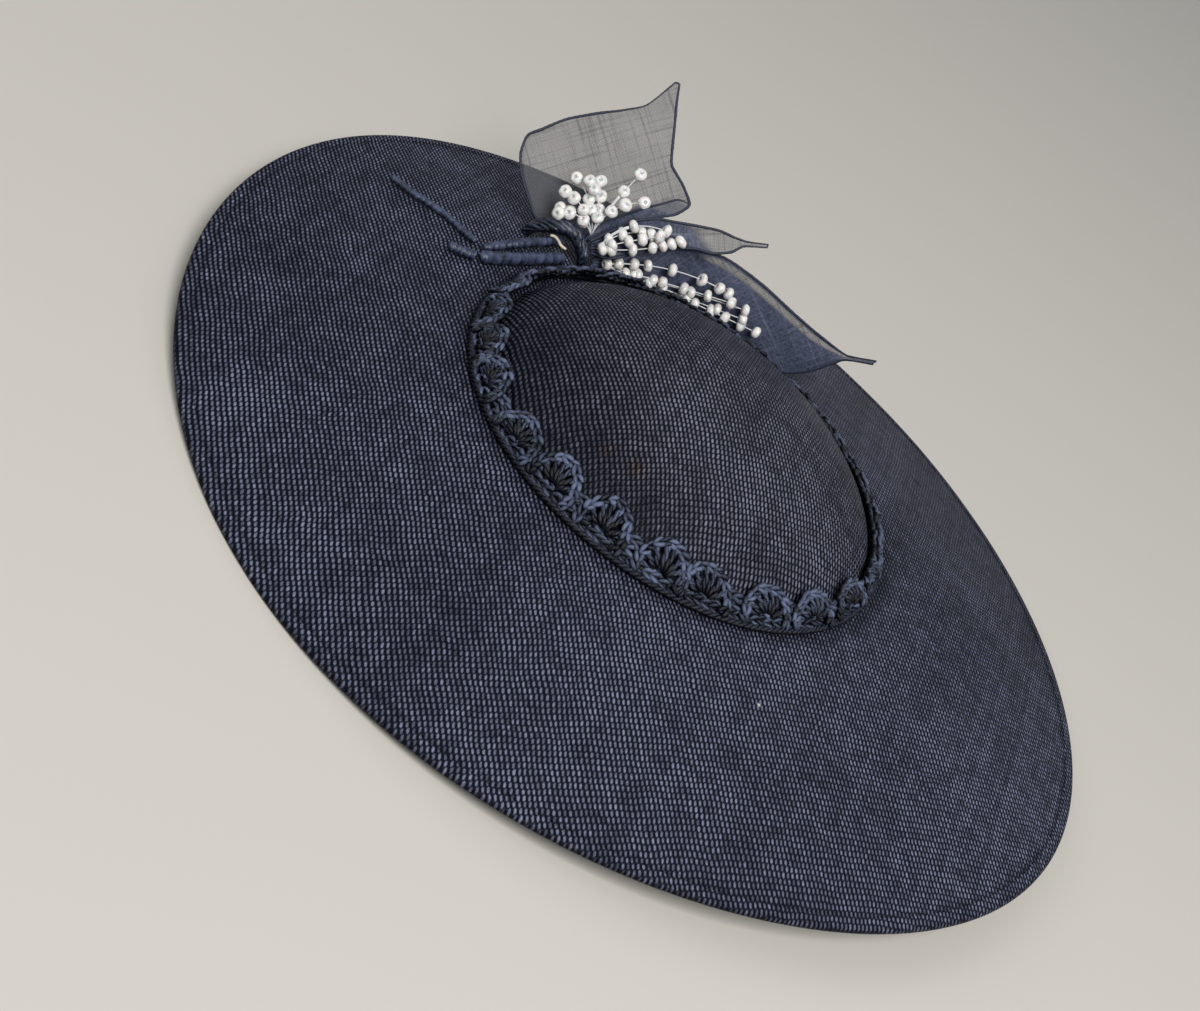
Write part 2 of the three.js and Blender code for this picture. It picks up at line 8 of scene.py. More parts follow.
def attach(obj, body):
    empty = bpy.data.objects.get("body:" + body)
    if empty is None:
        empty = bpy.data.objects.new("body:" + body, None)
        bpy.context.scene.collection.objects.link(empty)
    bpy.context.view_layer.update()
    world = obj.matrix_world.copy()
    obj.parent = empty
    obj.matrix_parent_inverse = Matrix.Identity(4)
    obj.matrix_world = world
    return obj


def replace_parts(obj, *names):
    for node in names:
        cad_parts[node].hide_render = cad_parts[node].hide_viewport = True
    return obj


# A navy saucer fascinator: woven straw brim and dome, crochet braid, organza petals, pearl sprays.
# Shapes are in millimetres here and turned into metres when a piece is made.
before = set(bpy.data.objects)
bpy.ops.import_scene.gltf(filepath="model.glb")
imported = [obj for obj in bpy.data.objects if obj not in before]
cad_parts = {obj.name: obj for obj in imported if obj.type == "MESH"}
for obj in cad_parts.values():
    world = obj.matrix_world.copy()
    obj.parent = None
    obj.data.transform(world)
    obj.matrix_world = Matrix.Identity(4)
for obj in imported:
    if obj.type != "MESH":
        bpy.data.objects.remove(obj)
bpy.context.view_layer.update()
mm = 0.001
print("packed hat loaded,", len(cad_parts), "solids")

hat = {
    "rimRadius": 190,
    "seatRadius": 90,  # flat ledge round the dome
    "seatHeight": 27.7,
    "crownShift": -5.5,
    "fallPower": 1.15,
    "straw": 1.6,
    "hemWidth": 4.6,
    "hemRise": 0.6,  # from the rim's own height up to the lower face of the straw
    "rimBase": 5.75,
    "restFlat": 0.25,
    "restEase": 2,
    "rimWaves": [(5.6, 2, 151), (2.0, 3, 60), (2.0, 1, 243)],  # lift, times round, highest at
    "domeRadius": 81.5,
    "domeHeight": 31.2,
    "domeFullness": 1.6,
    "apexShift": (-3, 5),
    "collar": 4,
}
brimWidth = hat["rimRadius"] - hat["seatRadius"]


def clamp(value, low=0.0, high=1.0):
    return max(low, min(high, value))


def blendTo(low, high, value):
    share = clamp((value - low) / (high - low))
    return share * share * (3 - 2 * share)


def rimHeight(turn):
    height = hat["rimBase"]
    for lift, times, highest in hat["rimWaves"]:
        height += lift * math.cos(times * (turn - math.radians(highest)))
    flat = hat["restFlat"]
    return 0.0 if height < flat else height - flat * math.exp(-(height - flat) / hat["restEase"])


# fall is 0 at the ledge and 1 at the rim
def brimTop(turn, fall):
    drop = max(fall, 0) ** hat["fallPower"]
    return hat["seatHeight"] * (1 - drop) + (rimHeight(turn) + hat["hemRise"] + hat["straw"]) * drop


def brimPlace(turn, fall):
    reach = hat["seatRadius"] + fall * brimWidth
    middle = hat["crownShift"] * (1 - max(fall, 0))
    return middle + reach * math.cos(turn), reach * math.sin(turn)


def brimTopAt(x, y):
    turn = math.atan2(y, x)
    fall = 0.0
    for _ in range(8):  # each round comes closer to the fall at this place
        reach = math.hypot(x - hat["crownShift"] * (1 - fall), y)
        fall = clamp((reach - hat["seatRadius"]) / brimWidth)
    return brimTop(turn, fall)


def domeRadiusAt(climb):
    share = clamp(climb / hat["domeHeight"])
    fullness = hat["domeFullness"]
    return hat["domeRadius"] * (1 - share**fullness) ** (1 / fullness)


def domePoint(turn, climb, out):
    share = clamp(climb / hat["domeHeight"])
    reach = domeRadiusAt(climb) + out
    return Vector((
        hat["crownShift"] + hat["apexShift"][0] * share + reach * math.cos(turn),
        hat["apexShift"][1] * share + reach * math.sin(turn),
        hat["seatHeight"] + climb,
    ))


# A place round the dome, by its distance from the dome's middle and its climb above the ledge.
def aroundDome(turn, reach, climb):
    x = hat["crownShift"] + reach * math.cos(turn)
    return Vector((x, reach * math.sin(turn), hat["seatHeight"] + climb))


# Points and faces of one piece, gathered from its parts.
class Heap:
    def __init__(self):
        self.points = []
        self.faces = []
        self.tones = []  # a number from 0 to 1 at each point, read by the materials: painted light and shade on most pieces, how close the cloth is on the petals
        self.cloth = []  # where a point lies on the flat cloth

    def add(self, points, faces, tone=0.5):
        start = len(self.points)
        self.points.extend(points)
        self.faces.extend([tuple(start + i for i in face) for face in faces])
        self.tones.extend(tone if isinstance(tone, list) else [tone] * len(points))

    def piece(self, name, material, slotName):
        mesh = bpy.data.meshes.new(name)
        mesh.from_pydata([Vector(p) * mm for p in self.points], [], self.faces)
        mesh.validate()
        tone = mesh.attributes.new("tone", "FLOAT", "POINT")
        tone.data.foreach_set("value", self.tones)
        if self.cloth:
            flat = mesh.attributes.new("cloth", "FLOAT_VECTOR", "POINT")
            flat.data.foreach_set("vector", [mm * value for a, b in self.cloth for value in (a, b, 0)])
        mesh.polygons.foreach_set("use_smooth", [True] * len(mesh.polygons))
        mesh.update()
        made = bpy.data.objects.new(name, mesh)
        bpy.context.scene.collection.objects.link(made)
        made.data.materials.append(material)
        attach(made, "root")
        return made


# Faces between rings of points that follow each other. closed joins the last ring to the first.
def ringFaces(rings, sides, closed=False, inward=False):
    faces = []
    for i in range(rings if closed else rings - 1):
        here, there = i * sides, ((i + 1) % rings) * sides
        for j in range(sides):
            k = (j + 1) % sides
            if inward:
                faces.append((here + j, there + j, there + k, here + k))
            else:
                faces.append((here + j, here + k, there + k, there + j))
    return faces


# How far along a line each of its points is.
def lengthsAlong(points):
    lengths = [0.0]
    for a, b in zip(points, points[1:]):
        lengths.append(lengths[-1] + math.dist(a, b))
    return lengths


# Points spread evenly along a smooth line through the given ones.
def smoothLine(points, count):
    points = [Vector(p) for p in points]
    ends = [points[0] * 2 - points[1]] + points + [points[-1] * 2 - points[-2]]
    fine = []
    for k in range(1, len(ends) - 2):
        a, b, c, d = ends[k - 1 : k + 3]
        for step in range(16):
            f = step / 16
            fine.append(0.5 * (
                2 * b + (c - a) * f + (2 * a - 5 * b + 4 * c - d) * f * f
                + (3 * b - a - 3 * c + d) * f**3
            ))
    fine.append(points[-1])
    lengths = [0.0]
    for a, b in zip(fine, fine[1:]):
        lengths.append(lengths[-1] + (b - a).length)
    even = []
    k = 0
    for i in range(count):
        wanted = lengths[-1] * i / (count - 1)
        while k < len(fine) - 2 and lengths[k + 1] < wanted:
            k += 1
        span = max(lengths[k + 1] - lengths[k], 1e-9)
        even.append(fine[k].lerp(fine[k + 1], clamp((wanted - lengths[k]) / span)))
    return even


tipRise = 0.35  # how far the tip of a rope stands out, in radii


# A round body along a line. radiusAt takes the share of the way and the angle round the line.
def rope(line, sides, radiusAt, closed=False):
    count = len(line)
    points = []
    side = None
    for i, point in enumerate(line):
        after = line[(i + 1) % count] if closed or i < count - 1 else point
        before = line[i - 1] if closed or i > 0 else point
        along = (after - before).normalized()
        if side is None:
            start = Vector((0, 0, 1)) if abs(along.z) < 0.9 else Vector((1, 0, 0))
            side = along.cross(start).normalized()
        else:
            side = (side - along * side.dot(along)).normalized()
        other = along.cross(side)
        for j in range(sides):
            angle = 2 * math.pi * j / sides
            radius = radiusAt(i / max(count - 1, 1), angle)
            points.append(point + side * (radius * math.cos(angle)) + other * (radius * math.sin(angle)))
    faces = ringFaces(count, sides, closed)
    if not closed:
        for end, inner, order in ((0, 1, -1), (count - 1, count - 2, 1)):
            outward = (line[end] - line[inner]).normalized()
            points.append(line[end] + outward * radiusAt(end / (count - 1), 0) * tipRise)
            for j in range(sides):
                a, b = end * sides + j, end * sides + (j + 1) % sides
                faces.append((len(points) - 1, a, b)[::order])
    return points, faces


# Painted light and shade for the points of a rope: lighter where its side faces outward, darker towards what
# it lies on.
def crestTones(line, points, sides, outward, base, gain):
    tones = []
    for k, point in enumerate(points):
        i = min(k // sides, len(line) - 1)
        side = point - line[i]
        level = side.dot(outward[i] if isinstance(outward, list) else outward) / max(side.length, 1e-6)
        tones.append(clamp((base[i] if isinstance(base, list) else base) + gain * level))
    return tones


# Nodes of one material, with short calls for the ones used again and again.
class Board:
    def __init__(self, name):
        self.material = bpy.data.materials.new(name)
        self.material.use_nodes = True
        self.nodes = self.material.node_tree.nodes
        self.links = self.material.node_tree.links
        self.nodes.clear()
        output = self.nodes.new("ShaderNodeOutputMaterial")
        self.shader = self.nodes.new("ShaderNodeBsdfPrincipled")
        self.links.new(self.shader.outputs[0], output.inputs[0])
        self.place = self.nodes.new("ShaderNodeTexCoord").outputs["Object"]

    def feed(self, socket, value):
        if isinstance(value, bpy.types.NodeSocket):
            self.links.new(value, socket)
        else:
            socket.default_value = value

    def calc(self, operation, *values, clamp=False):
        node = self.nodes.new("ShaderNodeMath")
        node.operation = operation
        node.use_clamp = clamp
        for socket, value in zip(node.inputs, values):
            self.feed(socket, value)
        return node.outputs[0]

    def plus(self, first, second):
        return self.calc("ADD", first, second)

    def minus(self, first, second):
        return self.calc("SUBTRACT", first, second)

    def times(self, first, second):
        return self.calc("MULTIPLY", first, second)

    def square(self, value):
        return self.calc("POWER", value, 2.0)

    def split(self, vector):
        node = self.nodes.new("ShaderNodeSeparateXYZ")
        self.feed(node.inputs[0], vector)
        return node.outputs

    def join(self, x, y, z=0.0):
        node = self.nodes.new("ShaderNodeCombineXYZ")
        for socket, value in zip(node.inputs, (x, y, z)):
            self.feed(socket, value)
        return node.outputs[0]

    def cloud(self, scale, detail=2.0, vector=None, roughness=0.5):
        node = self.nodes.new("ShaderNodeTexNoise")
        self.feed(node.inputs["Vector"], self.place if vector is None else vector)
        node.inputs["Scale"].default_value = scale
        node.inputs["Detail"].default_value = detail
        node.inputs["Roughness"].default_value = roughness
        return node.outputs["Fac"]

    def speck(self, x, y):
        node = self.nodes.new("ShaderNodeTexWhiteNoise")
        node.noise_dimensions = "2D"
        self.feed(node.inputs["Vector"], self.join(x, y))
        return node.outputs["Value"]

    def spread(self, value, low, high, fromLow=0.0, fromHigh=1.0, smooth=False):
        node = self.nodes.new("ShaderNodeMapRange")
        node.interpolation_type = "SMOOTHSTEP" if smooth else "LINEAR"
        self.feed(node.inputs["Value"], value)
        for name, number in zip(("From Min", "From Max", "To Min", "To Max"), (fromLow, fromHigh, low, high)):
            node.inputs[name].default_value = number
        return node.outputs[0]

    def tint(self, share, first, second, way="MIX"):
        node = self.nodes.new("ShaderNodeMix")
        node.data_type = "RGBA"
        node.blend_type = way
        node.clamp_factor = True
        for index, value in ((0, share), (6, first), (7, second)):
            self.feed(node.inputs[index], (*value, 1.0) if isinstance(value, tuple) else value)
        return node.outputs[2]

    def attribute(self, name):
        node = self.nodes.new("ShaderNodeAttribute")
        node.attribute_name = name
        return node.outputs

    def tone(self):
        return self.attribute("tone")["Fac"]

    def cloth(self):
        return self.split(self.attribute("cloth")["Vector"])

    def emboss(self, height, depth, strength=1.0):
        node = self.nodes.new("ShaderNodeBump")
        node.inputs["Distance"].default_value = depth * mm
        node.inputs["Strength"].default_value = strength
        self.feed(node.inputs["Height"], height)
        self.links.new(node.outputs[0], self.shader.inputs["Normal"])

    def finish(self, **values):
        for name, value in values.items():
            socket = self.shader.inputs[name.replace("_", " ")]
            self.feed(socket, (*value, 1.0) if isinstance(value, tuple) else value)
        return self.material


# Straw cloth: a plain weave whose warp lies along Y and whose weft runs a little askew to it.
weave = {
    "warpThreads": (763, -8),  # a metre along x and along y
    "weftThreads": (164, 732),
    "weftShift": (0.37, 0.11),  # keeps the weft's wander apart from the warp's
    "wander": 1.4,  # how far the threads stray, in threads
    "wanderSize": 17,
    "jitter": 0.6,
    "jitterSize": 100,
    "dashWidth": 1.0,  # in threads
    "dashLength": 1.62,
    "twist": -0.3,
    "warpFade": (0.05, 1.0),  # where a dash starts to fade and where it ends
    "weftFade": (0.1, 1.2),
    # The gap and weft colours are the navy straw darkened with painted shade between and under the threads;
    # the warp colour is lighter with a painted highlight on the dashes that lie on top.
    "gap": (0.001, 0.0015, 0.004),
    "weft": (0.005, 0.007, 0.015),
    "warp": (0.185, 0.2, 0.292),
    "warpShow": 0.7,
    "tanColour": (0.3, 0.19, 0.1),
    "lintColour": (0.5, 0.5, 0.5),
    # the least and the most that the light is multiplied by, then the part of the pattern they cover
    "dashTones": (0.65, 1.2),
    "threadTones": (0.8, 1.15),
    "patchTones": (0.7, 1.3, 0.3, 0.7),
    "fibreTones": (0.6, 1.35, 0.3, 0.7),
    "paintedLightAndShade": (0.15, 1.85),
    "patches": ((9.0, 3.0), (160.0, 2.0)),  # scale and detail
    "fibreSize": 1900.0,
    "ragged": (0.6, 1.6),
    "raggedSize": 60,
    "relief": 0.3,
    "weftRelief": 0.6,  # as a share of the warp's
    "roughness": (0.4, 0.6, 0.72, 1.15),
    # On the brim two worn patches at the front left and a painted pool of light at the front middle; on the
    # dome a painted sheen towards the front and the right.
    # x, y, size and strength, in metres
    "wornAndLit": [(-0.1265, -0.1148, 0.022, 0.55), (-0.1536, -0.0689, 0.018, 0.4), (0.0, -0.126, 0.05, 0.15)],
    "lint": [(0.0637, -0.0959, 0.0011, 1.0), (-0.1129, 0.05, 0.0009, 0.8)],
    "domePaintedSheen": [(0.014, -0.04, 0.034, 0.45), (0.045, -0.02, 0.03, 0.2), (-0.015, -0.03, 0.04, 0.4)],
    "tan": [(-0.025, -0.059, 0.005, 0.55), (-0.0137, -0.0581, 0.006, 0.6)],
}


def strawCloth(name, tintBy, wornAndLit, lint=(), tan=()):
    board = Board(name)
    x, y, _ = board.split(board.place)
    shiftX, shiftY = weave["weftShift"]
    shifted = board.join(board.plus(x, shiftX), board.plus(y, shiftY))

    def stray(vector):
        slow = board.spread(board.cloud(weave["wanderSize"], 2.0, vector), -weave["wander"], weave["wander"])
        quick = board.spread(board.cloud(weave["jitterSize"], 1.0, vector), -weave["jitter"], weave["jitter"])
        return board.plus(slow, quick)

    def count(perMetre, vector):
        along = board.times(x, perMetre[0])
        across = board.calc("MULTIPLY_ADD", y, perMetre[1], along)
        return board.plus(across, stray(vector))

    def sign(value):
        return board.calc("SIGN", value)

    warpCount = count(weave["warpThreads"], board.place)
    weftCount = count(weave["weftThreads"], shifted)
    warpIndex = board.calc("FLOOR", warpCount)
    weftIndex = board.calc("FLOOR", weftCount)
    warpOff = board.minus(board.calc("FRACT", warpCount), 0.5)
    weftOff = board.minus(board.calc("FRACT", weftCount), 0.5)
    odd = board.calc("FLOORED_MODULO", board.plus(warpIndex, weftIndex), 2.0)
    even = board.minus(1.0, odd)
    # how far along its thread a point is from the middle of the nearest stretch that lies on top
    alongWarp = board.minus(weftOff, board.times(odd, sign(weftOff)))
    alongWeft = board.minus(warpOff, board.times(even, sign(warpOff)))

    def dash(across, along, twist):
        side = board.calc("ABSOLUTE", board.calc("MULTIPLY_ADD", along, -twist, across))
        wide = board.square(board.calc("DIVIDE", side, weave["dashWidth"] / 2))
        end = board.calc("DIVIDE", board.calc("ABSOLUTE", along), weave["dashLength"] / 2)
        return board.plus(wide, board.square(end))

    # the nearest dash or the one beyond the corner, whichever is closer
    beyondAcross = board.minus(warpOff, sign(warpOff))
    beyondAlong = board.minus(alongWarp, sign(alongWarp))
    nearest = dash(warpOff, alongWarp, weave["twist"])
    beyond = dash(beyondAcross, beyondAlong, weave["twist"])
    warpEdge = board.calc("MINIMUM", nearest, beyond)
    weftEdge = dash(weftOff, alongWeft, 0.0)
    warpOver = board.spread(warpEdge, 1.0, 0.0, *weave["warpFade"], smooth=True)
    weftOver = board.spread(weftEdge, 1.0, 0.0, *weave["weftFade"], smooth=True)
    cell = board.spread(board.speck(warpIndex, weftIndex), *weave["dashTones"])
    strand = board.spread(board.speck(warpIndex, 7.0), *weave["threadTones"])
    pick = board.spread(board.speck(3.0, weftIndex), *weave["threadTones"])
    broad, close = [board.spread(board.cloud(*patch), *weave["patchTones"]) for patch in weave["patches"]]
    wide = board.times(broad, close)
    ragged = board.spread(board.cloud(weave["raggedSize"], 3.0), *weave["ragged"])

    def spot(spotX, spotY, size, strength):
        offX, offY = board.minus(x, spotX), board.minus(y, spotY)
        away = board.calc("SQRT", board.plus(board.square(offX), board.square(offY)))
        return board.spread(board.times(away, ragged), strength, 0.0, 0.0, size, smooth=True)

    # brighten the straw at worn patches and at places of painted light and sheen
    for place in wornAndLit:
        wide = board.plus(wide, spot(*place))
    # painted light and shade from each point's tone
    wide = board.times(wide, board.spread(board.tone(), *weave["paintedLightAndShade"]))
    bright = board.times(board.times(strand, pick), board.times(cell, wide))
    fibre = board.spread(board.cloud(weave["fibreSize"]), *weave["fibreTones"])
    warpShare = board.times(warpOver, board.times(bright, fibre))
    # painted shade in the gaps and on the weft, painted highlight on the warp dashes
    colour = board.tint(board.times(weftOver, wide), weave["gap"], weave["weft"])
    warpColour = weave["warp"]
    for place in tan:
        warpColour = board.tint(spot(*place), warpColour, weave["tanColour"])
    colour = board.tint(board.times(warpShare, weave["warpShow"]), colour, warpColour)
    for place in lint:
        colour = board.tint(spot(*place), colour, weave["lintColour"])
    colour = board.tint(1.0, colour, tintBy, "MULTIPLY")
    board.emboss(board.calc("MULTIPLY_ADD", weftOver, weave["weftRelief"], warpOver), weave["relief"], 0.9)
    rough = board.spread(cell, *weave["roughness"])
    return board.finish(Base_Color=colour, Roughness=rough, Specular_IOR_Level=0.06)


brimStraw = strawCloth("navyStrawBrim", (1.0, 1.0, 1.0), weave["wornAndLit"], lint=weave["lint"])
domeStraw = strawCloth("navyStrawDome", (0.98, 0.95, 0.88), weave["domePaintedSheen"], tan=weave["tan"])

brim = {
    "steps": 360,
    "topRows": 44,
    "underRows": 36,
    "crowding": (0.9, 1.1),  # brings the rows closer together towards the rim, on top and underneath
    "openingGap": 0.4,  # between the dome and the opening
    "ripple": 0.35,
    "rippleSize": 0.021,
    "hemLift": 0.3,
    "hemRows": ((0.04, 0.2), (0.1, 0.5), (0.3, 0.52), (0.6, 0.5), (0.8, 0.42)),  # share of the hem, and its tone, with painted shade where the hem begins and towards the edge
    "edge": (0.013, 1.4),  # share of the fall, half the height
    "underHem": (0.6, 0.3, 0.1, 0.03),
    "underStep": 0.004,
    # tones of painted light and shade: darker where the top meets the ledge and the hem, round the edge and
    # underneath, lighter on the upper side of the edge
    "tones": {
        "top": 0.5,
        "ledge": -0.25,  # painted shade, these two are added where the top meets the ledge and the hem
        "hem": -0.3,
        "edge": 0.1,
        "lit": 0.25,  # painted highlight, added on the upper side of the edge
        "underHem": 0.35,
        "under": 0.4,
    },
    # painted shade towards the back and painted light towards the front
    "backDarkness": 0.06,
    "backTurn": math.radians(75),
}


def brimSection(turn):
    low = rimHeight(turn)
    tones = brim["tones"]
    hemFall = 1 - hat["hemWidth"] / brimWidth
    opening = (hat["domeRadius"] + brim["openingGap"] - hat["seatRadius"]) / brimWidth

    def uneven(fall):
        x, y = brimPlace(turn, fall)
        wave = noise.noise(Vector((x, y, 3.1)) * brim["rippleSize"])
        return brim["ripple"] * wave * blendTo(0.0, 0.2, fall) * (1 - blendTo(0.85, 0.95, fall))

    section = []
    for i in range(brim["topRows"]):
        fall = opening + (hemFall - opening) * (i / (brim["topRows"] - 1)) ** brim["crowding"][0]
        nearLedge = 1 - blendTo(0.0, 0.05, fall)
        shade = tones["top"] + tones["ledge"] * nearLedge + tones["hem"] * blendTo(0.945, hemFall, fall)
        section.append((fall, brimTop(turn, fall) + uneven(fall), shade))
    for share, shade in brim["hemRows"]:  # the hem lies on the brim
        fall = hemFall + share * (1 - hemFall)
        section.append((fall, brimTop(turn, fall) + brim["hemLift"] * blendTo(0.0, 0.1, share), shade))
    edgeIn, edgeHalf = brim["edge"]
    for angle in range(70, -91, -20):  # round the edge
        bend = math.radians(angle)
        fall = 1 - edgeIn + edgeIn * math.cos(bend)
        shade = tones["edge"] + tones["lit"] * max(math.sin(bend), 0)
        section.append((fall, low + edgeHalf + edgeHalf * math.sin(bend), shade))
    for share in brim["underHem"]:
        section.append((hemFall + share * (1 - hemFall), low + 0.05 * (1 - share), tones["underHem"]))
    for i in range(brim["underRows"]):
        inward = (i / (brim["underRows"] - 1)) ** brim["crowding"][1]
        fall = hemFall - brim["underStep"] + (opening - hemFall + brim["underStep"]) * inward
        section.append((fall, brimTop(turn, fall) - hat["straw"] + uneven(fall), tones["under"]))
    # painted shade towards the back, painted light towards the front
    toBack = brim["backDarkness"] * math.cos(turn - brim["backTurn"])
    places = [(*brimPlace(turn, fall), z) for fall, z, _ in section]
    return places, [shade - toBack for _, _, shade in section]


def buildBrim():
    heap = Heap()
    points, tones = [], []
    steps = brim["steps"]
    for i in range(steps):
        section, shades = brimSection(2 * math.pi * i / steps)
        points.extend(section)
        tones.extend(shades)
    heap.add(points, ringFaces(steps, len(points) // steps, closed=True), tones)
    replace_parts(heap.piece("strawBrim", brimStraw, "straw"), "saucer_brim")


buildBrim()
print("brim woven")

dome = {
    "steps": 200,
    "rows": 44,
    "lip": ((0, 0), (0.5, -0.25), (1.1, -0.25), (hat["straw"], 0)),  # inset and drop of the lower edge
    # the tones paint shade near the braid on the side towards darkTurn, and light towards the right
    "tone": 0.52,
    "darkTurn": math.radians(245),
    "darkness": 0.36,
    "darkFrom": (0.3, 0.95),
    "rightLight": 0.06,
}


def buildDome():
    heap = Heap()
    steps, rows = dome["steps"], dome["rows"]
    straw = hat["straw"]

    def climbAt(r):
        angle = (1 - r / rows) * math.pi / 2
        return angle, hat["domeHeight"] * math.sin(angle) ** (2 / hat["domeFullness"])

    def ringAt(climb, out):
        return [domePoint(2 * math.pi * i / steps, climb, out) for i in range(steps)]

    rings = [ringAt(climbAt(r)[1], 0) for r in range(1, rows + 1)]
    bottom = hat["seatHeight"] - hat["collar"]
    for inset, drop in dome["lip"]:
        rings.append([Vector((p.x, p.y, bottom + drop)) for p in ringAt(0, -inset)])
    for r in range(rows, 0, -1):
        angle, climb = climbAt(r)
        slope = math.atan2(hat["domeHeight"] * math.cos(angle), hat["domeRadius"] * math.sin(angle))
        down = straw * math.cos(slope)
        rings.append([Vector((p.x, p.y, p.z - down)) for p in ringAt(climb, -straw * math.sin(slope))])
    points = [point for ring in rings for point in ring]
    faces = ringFaces(len(rings), steps, inward=True)
    top = domePoint(0, hat["domeHeight"], 0)
    points += [top, top - Vector((0, 0, straw))]
    last = (len(rings) - 1) * steps
    for i in range(steps):
        j = (i + 1) % steps
        faces.append((len(points) - 2, i, j))
        faces.append((len(points) - 1, last + j, last + i))
    # tones: painted shade near the braid towards darkTurn, painted light towards the right
    tones = []
    for point in points:
        x, y = point.x - hat["crownShift"], point.y
        rim = blendTo(*dome["darkFrom"], math.hypot(x, y) / hat["domeRadius"])
        facing = max(math.cos(math.atan2(y, x) - dome["darkTurn"]), 0)
        toRight = x / hat["domeRadius"]
        tones.append(dome["tone"] - dome["darkness"] * rim * facing + dome["rightLight"] * toRight)
    heap.add(points, faces, tones)
    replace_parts(heap.piece("strawDome", domeStraw, "straw"), "crown_dome")


buildDome()
print("dome blocked")

# Crochet braid. Its own flat pattern has s along the ring and h up the slope, both in millimetres.
braid = {
    "seed": 41,
    "fans": 24,
    "firstFan": 11.8,  # degrees
    "countFrom": 13,  # nudge and tall start with this fan, at 206.8 degrees
    "nudge": [0, -2.0, 1.2, 0, -0.3, 0.8, -3.2, -0.8, -0.8, 1.2, 2.2, 1.0],
    "tall": [0.96, 0.9, 0.93, 1.08, 1.14, 1.06, 1.05, 1.0, 0.9, 0.82, 0.62, 0.46,
             0.4, 0.38, 0.4, 0.44, 0.48, 0.52, 0.58, 0.64, 0.7, 0.8, 0.86, 0.9],
    "pitchLine": 80.0,  # radius at which s is measured
    "slope": 15.0,
    "foot": (0.9, 6.2),  # climb above the ledge and distance from the dome
    "climb": 8.7,
    "leanIn": 3.7,
    "topOut": 0.7,
    "nearer": 2.2,  # how much closer to the dome it lies on its near side
    "nearTurn": math.radians(35),
    "normal": (0.62, 0.78),  # outward and upward
    "yarn": 0.92,
    "stitch": 3.1,
    # one leg of a stitch: half width at its foot, how it opens, length, part before its place, rise in yarns
    "leg": {
        "points": 6, "sides": 6, "foot": 0.12, "open": 0.88, "bend": 0.62,
        "length": 1.25, "before": 0.6, "hump": 0.75, "slope": 0.4,
    },
    "legYarn": (0.85, 1.12),
    "ropeSides": 5,
    "crest": (-0.42, 0.8),  # painted shade of a loop's sides, and the painted highlight that its crest adds
    # the foundation rope's tone is painted shade low in the band
    "footRope": {
        "points": 620, "yarn": 0.86, "apart": 0.62, "twists": 118, "tone": 0.12, "out": 0.7, "up": 0.75,
    },
    "rows": ((2.9, 0.16), (6.1, 0.22)),  # height and tone, a painted shade under the fans
    "rowReach": (4, 0.5),  # beyond the pitch line, and less by this for each millimetre of height
    "rowWidth": 1.4,
    "litStitches": (0.18, 0.35),  # share of them, and the painted highlight that they add
    # half width, height of the middle and rise above it
    "ribFoot": (2.4, 4.4, 1.6),
    "ribHead": (7.2, 4.5, 9.0),
    "fanRim": (8.2, 4.8, 9.2),
    "ribs": 6,
    "ribSpread": 66,  # degrees to each side
    "ribRope": {"points": 9, "yarn": 0.8, "apart": 0.5, "twists": 1.2},
    "ribLift": (0.9, 1.3, 0.5),  # at the foot, and what the middle and the head add
    "ribTone": (-0.15, 0.75),  # painted shade at the foot, and the painted light that the head adds
    "rimSpread": 112,
    "rimPoints": 25,
    "rimStitch": 0.88,
    "rimLift": 1.5,
    # the fan's rim carries painted light, and rimEndShade paints shade towards its two ends
    "rimTone": 0.42,
    "rimUneven": 0.35,
    "rimEndShade": 0.35,
    "dipStitches": ((-2.3, 8.0), (0, 8.8), (2.3, 8.0)),  # they fill the dip between two fans
    "dipWidth": 1.2,
    "dipTone": 0.3,
    # a near-black sheet inside the braid, painted shade between the ribs
    "shadeSheet": {"steps": 480, "levels": 6, "dip": 4.6, "fan": 3.4, "foot": 0.6, "outer": -0.1, "inner": -1.1},
    # the yarn's colour in painted shade and in painted light
    "yarnInShade": (0.001, 0.0018, 0.005),
    "yarnInLight": (0.125, 0.158, 0.262),
}


def braidPoint(turn, s, h, lift=0.0):
    share = h / braid["slope"]
    climb = braid["foot"][0] + braid["climb"] * share
    angle = turn + s / braid["pitchLine"]
    near = max(math.cos(angle - braid["nearTurn"]), 0)
    lean = braid["foot"][1] - braid["leanIn"] * share + braid["topOut"] * clamp(share) ** 3
    here = domePoint(angle, climb, lean - braid["nearer"] * near)
    outward, upward = braid["normal"]
    normal = Vector((math.cos(angle) * outward, math.sin(angle) * outward, upward))
    return here + normal * lift, normal


# Two legs that open like a V along the line, one crochet stitch.
def crochetStitch(heap, here, along, normal, size, width, tone, chance):
    side = normal.cross(along).normalized()
    yarn, leg = braid["yarn"], braid["leg"]
    crest, gain = braid["crest"]
    steps, sides = leg["points"] - 1, leg["sides"]
    for hand in (-1, 1):
        line = []
        for k in range(steps + 1):
            share = k / steps
            spread = hand * width * (leg["foot"] + leg["open"] * math.sin(share * math.pi * leg["bend"]))
            rise = yarn * (leg["hump"] * math.sin(math.pi * share) + leg["slope"] * share)
            ahead = size * (share * leg["length"] - leg["before"])
            line.append(here + along * ahead + side * spread + normal * rise)
        thick = yarn * chance.uniform(*braid["legYarn"])
        points, faces = rope(line, sides, lambda t, a: thick * (0.6 + 0.45 * math.sin(math.pi * t) ** 0.7))
        base = tone + chance.uniform(-0.2, 0.2) + crest
        heap.add(points, faces, crestTones(line, points, sides, normal, base, gain))


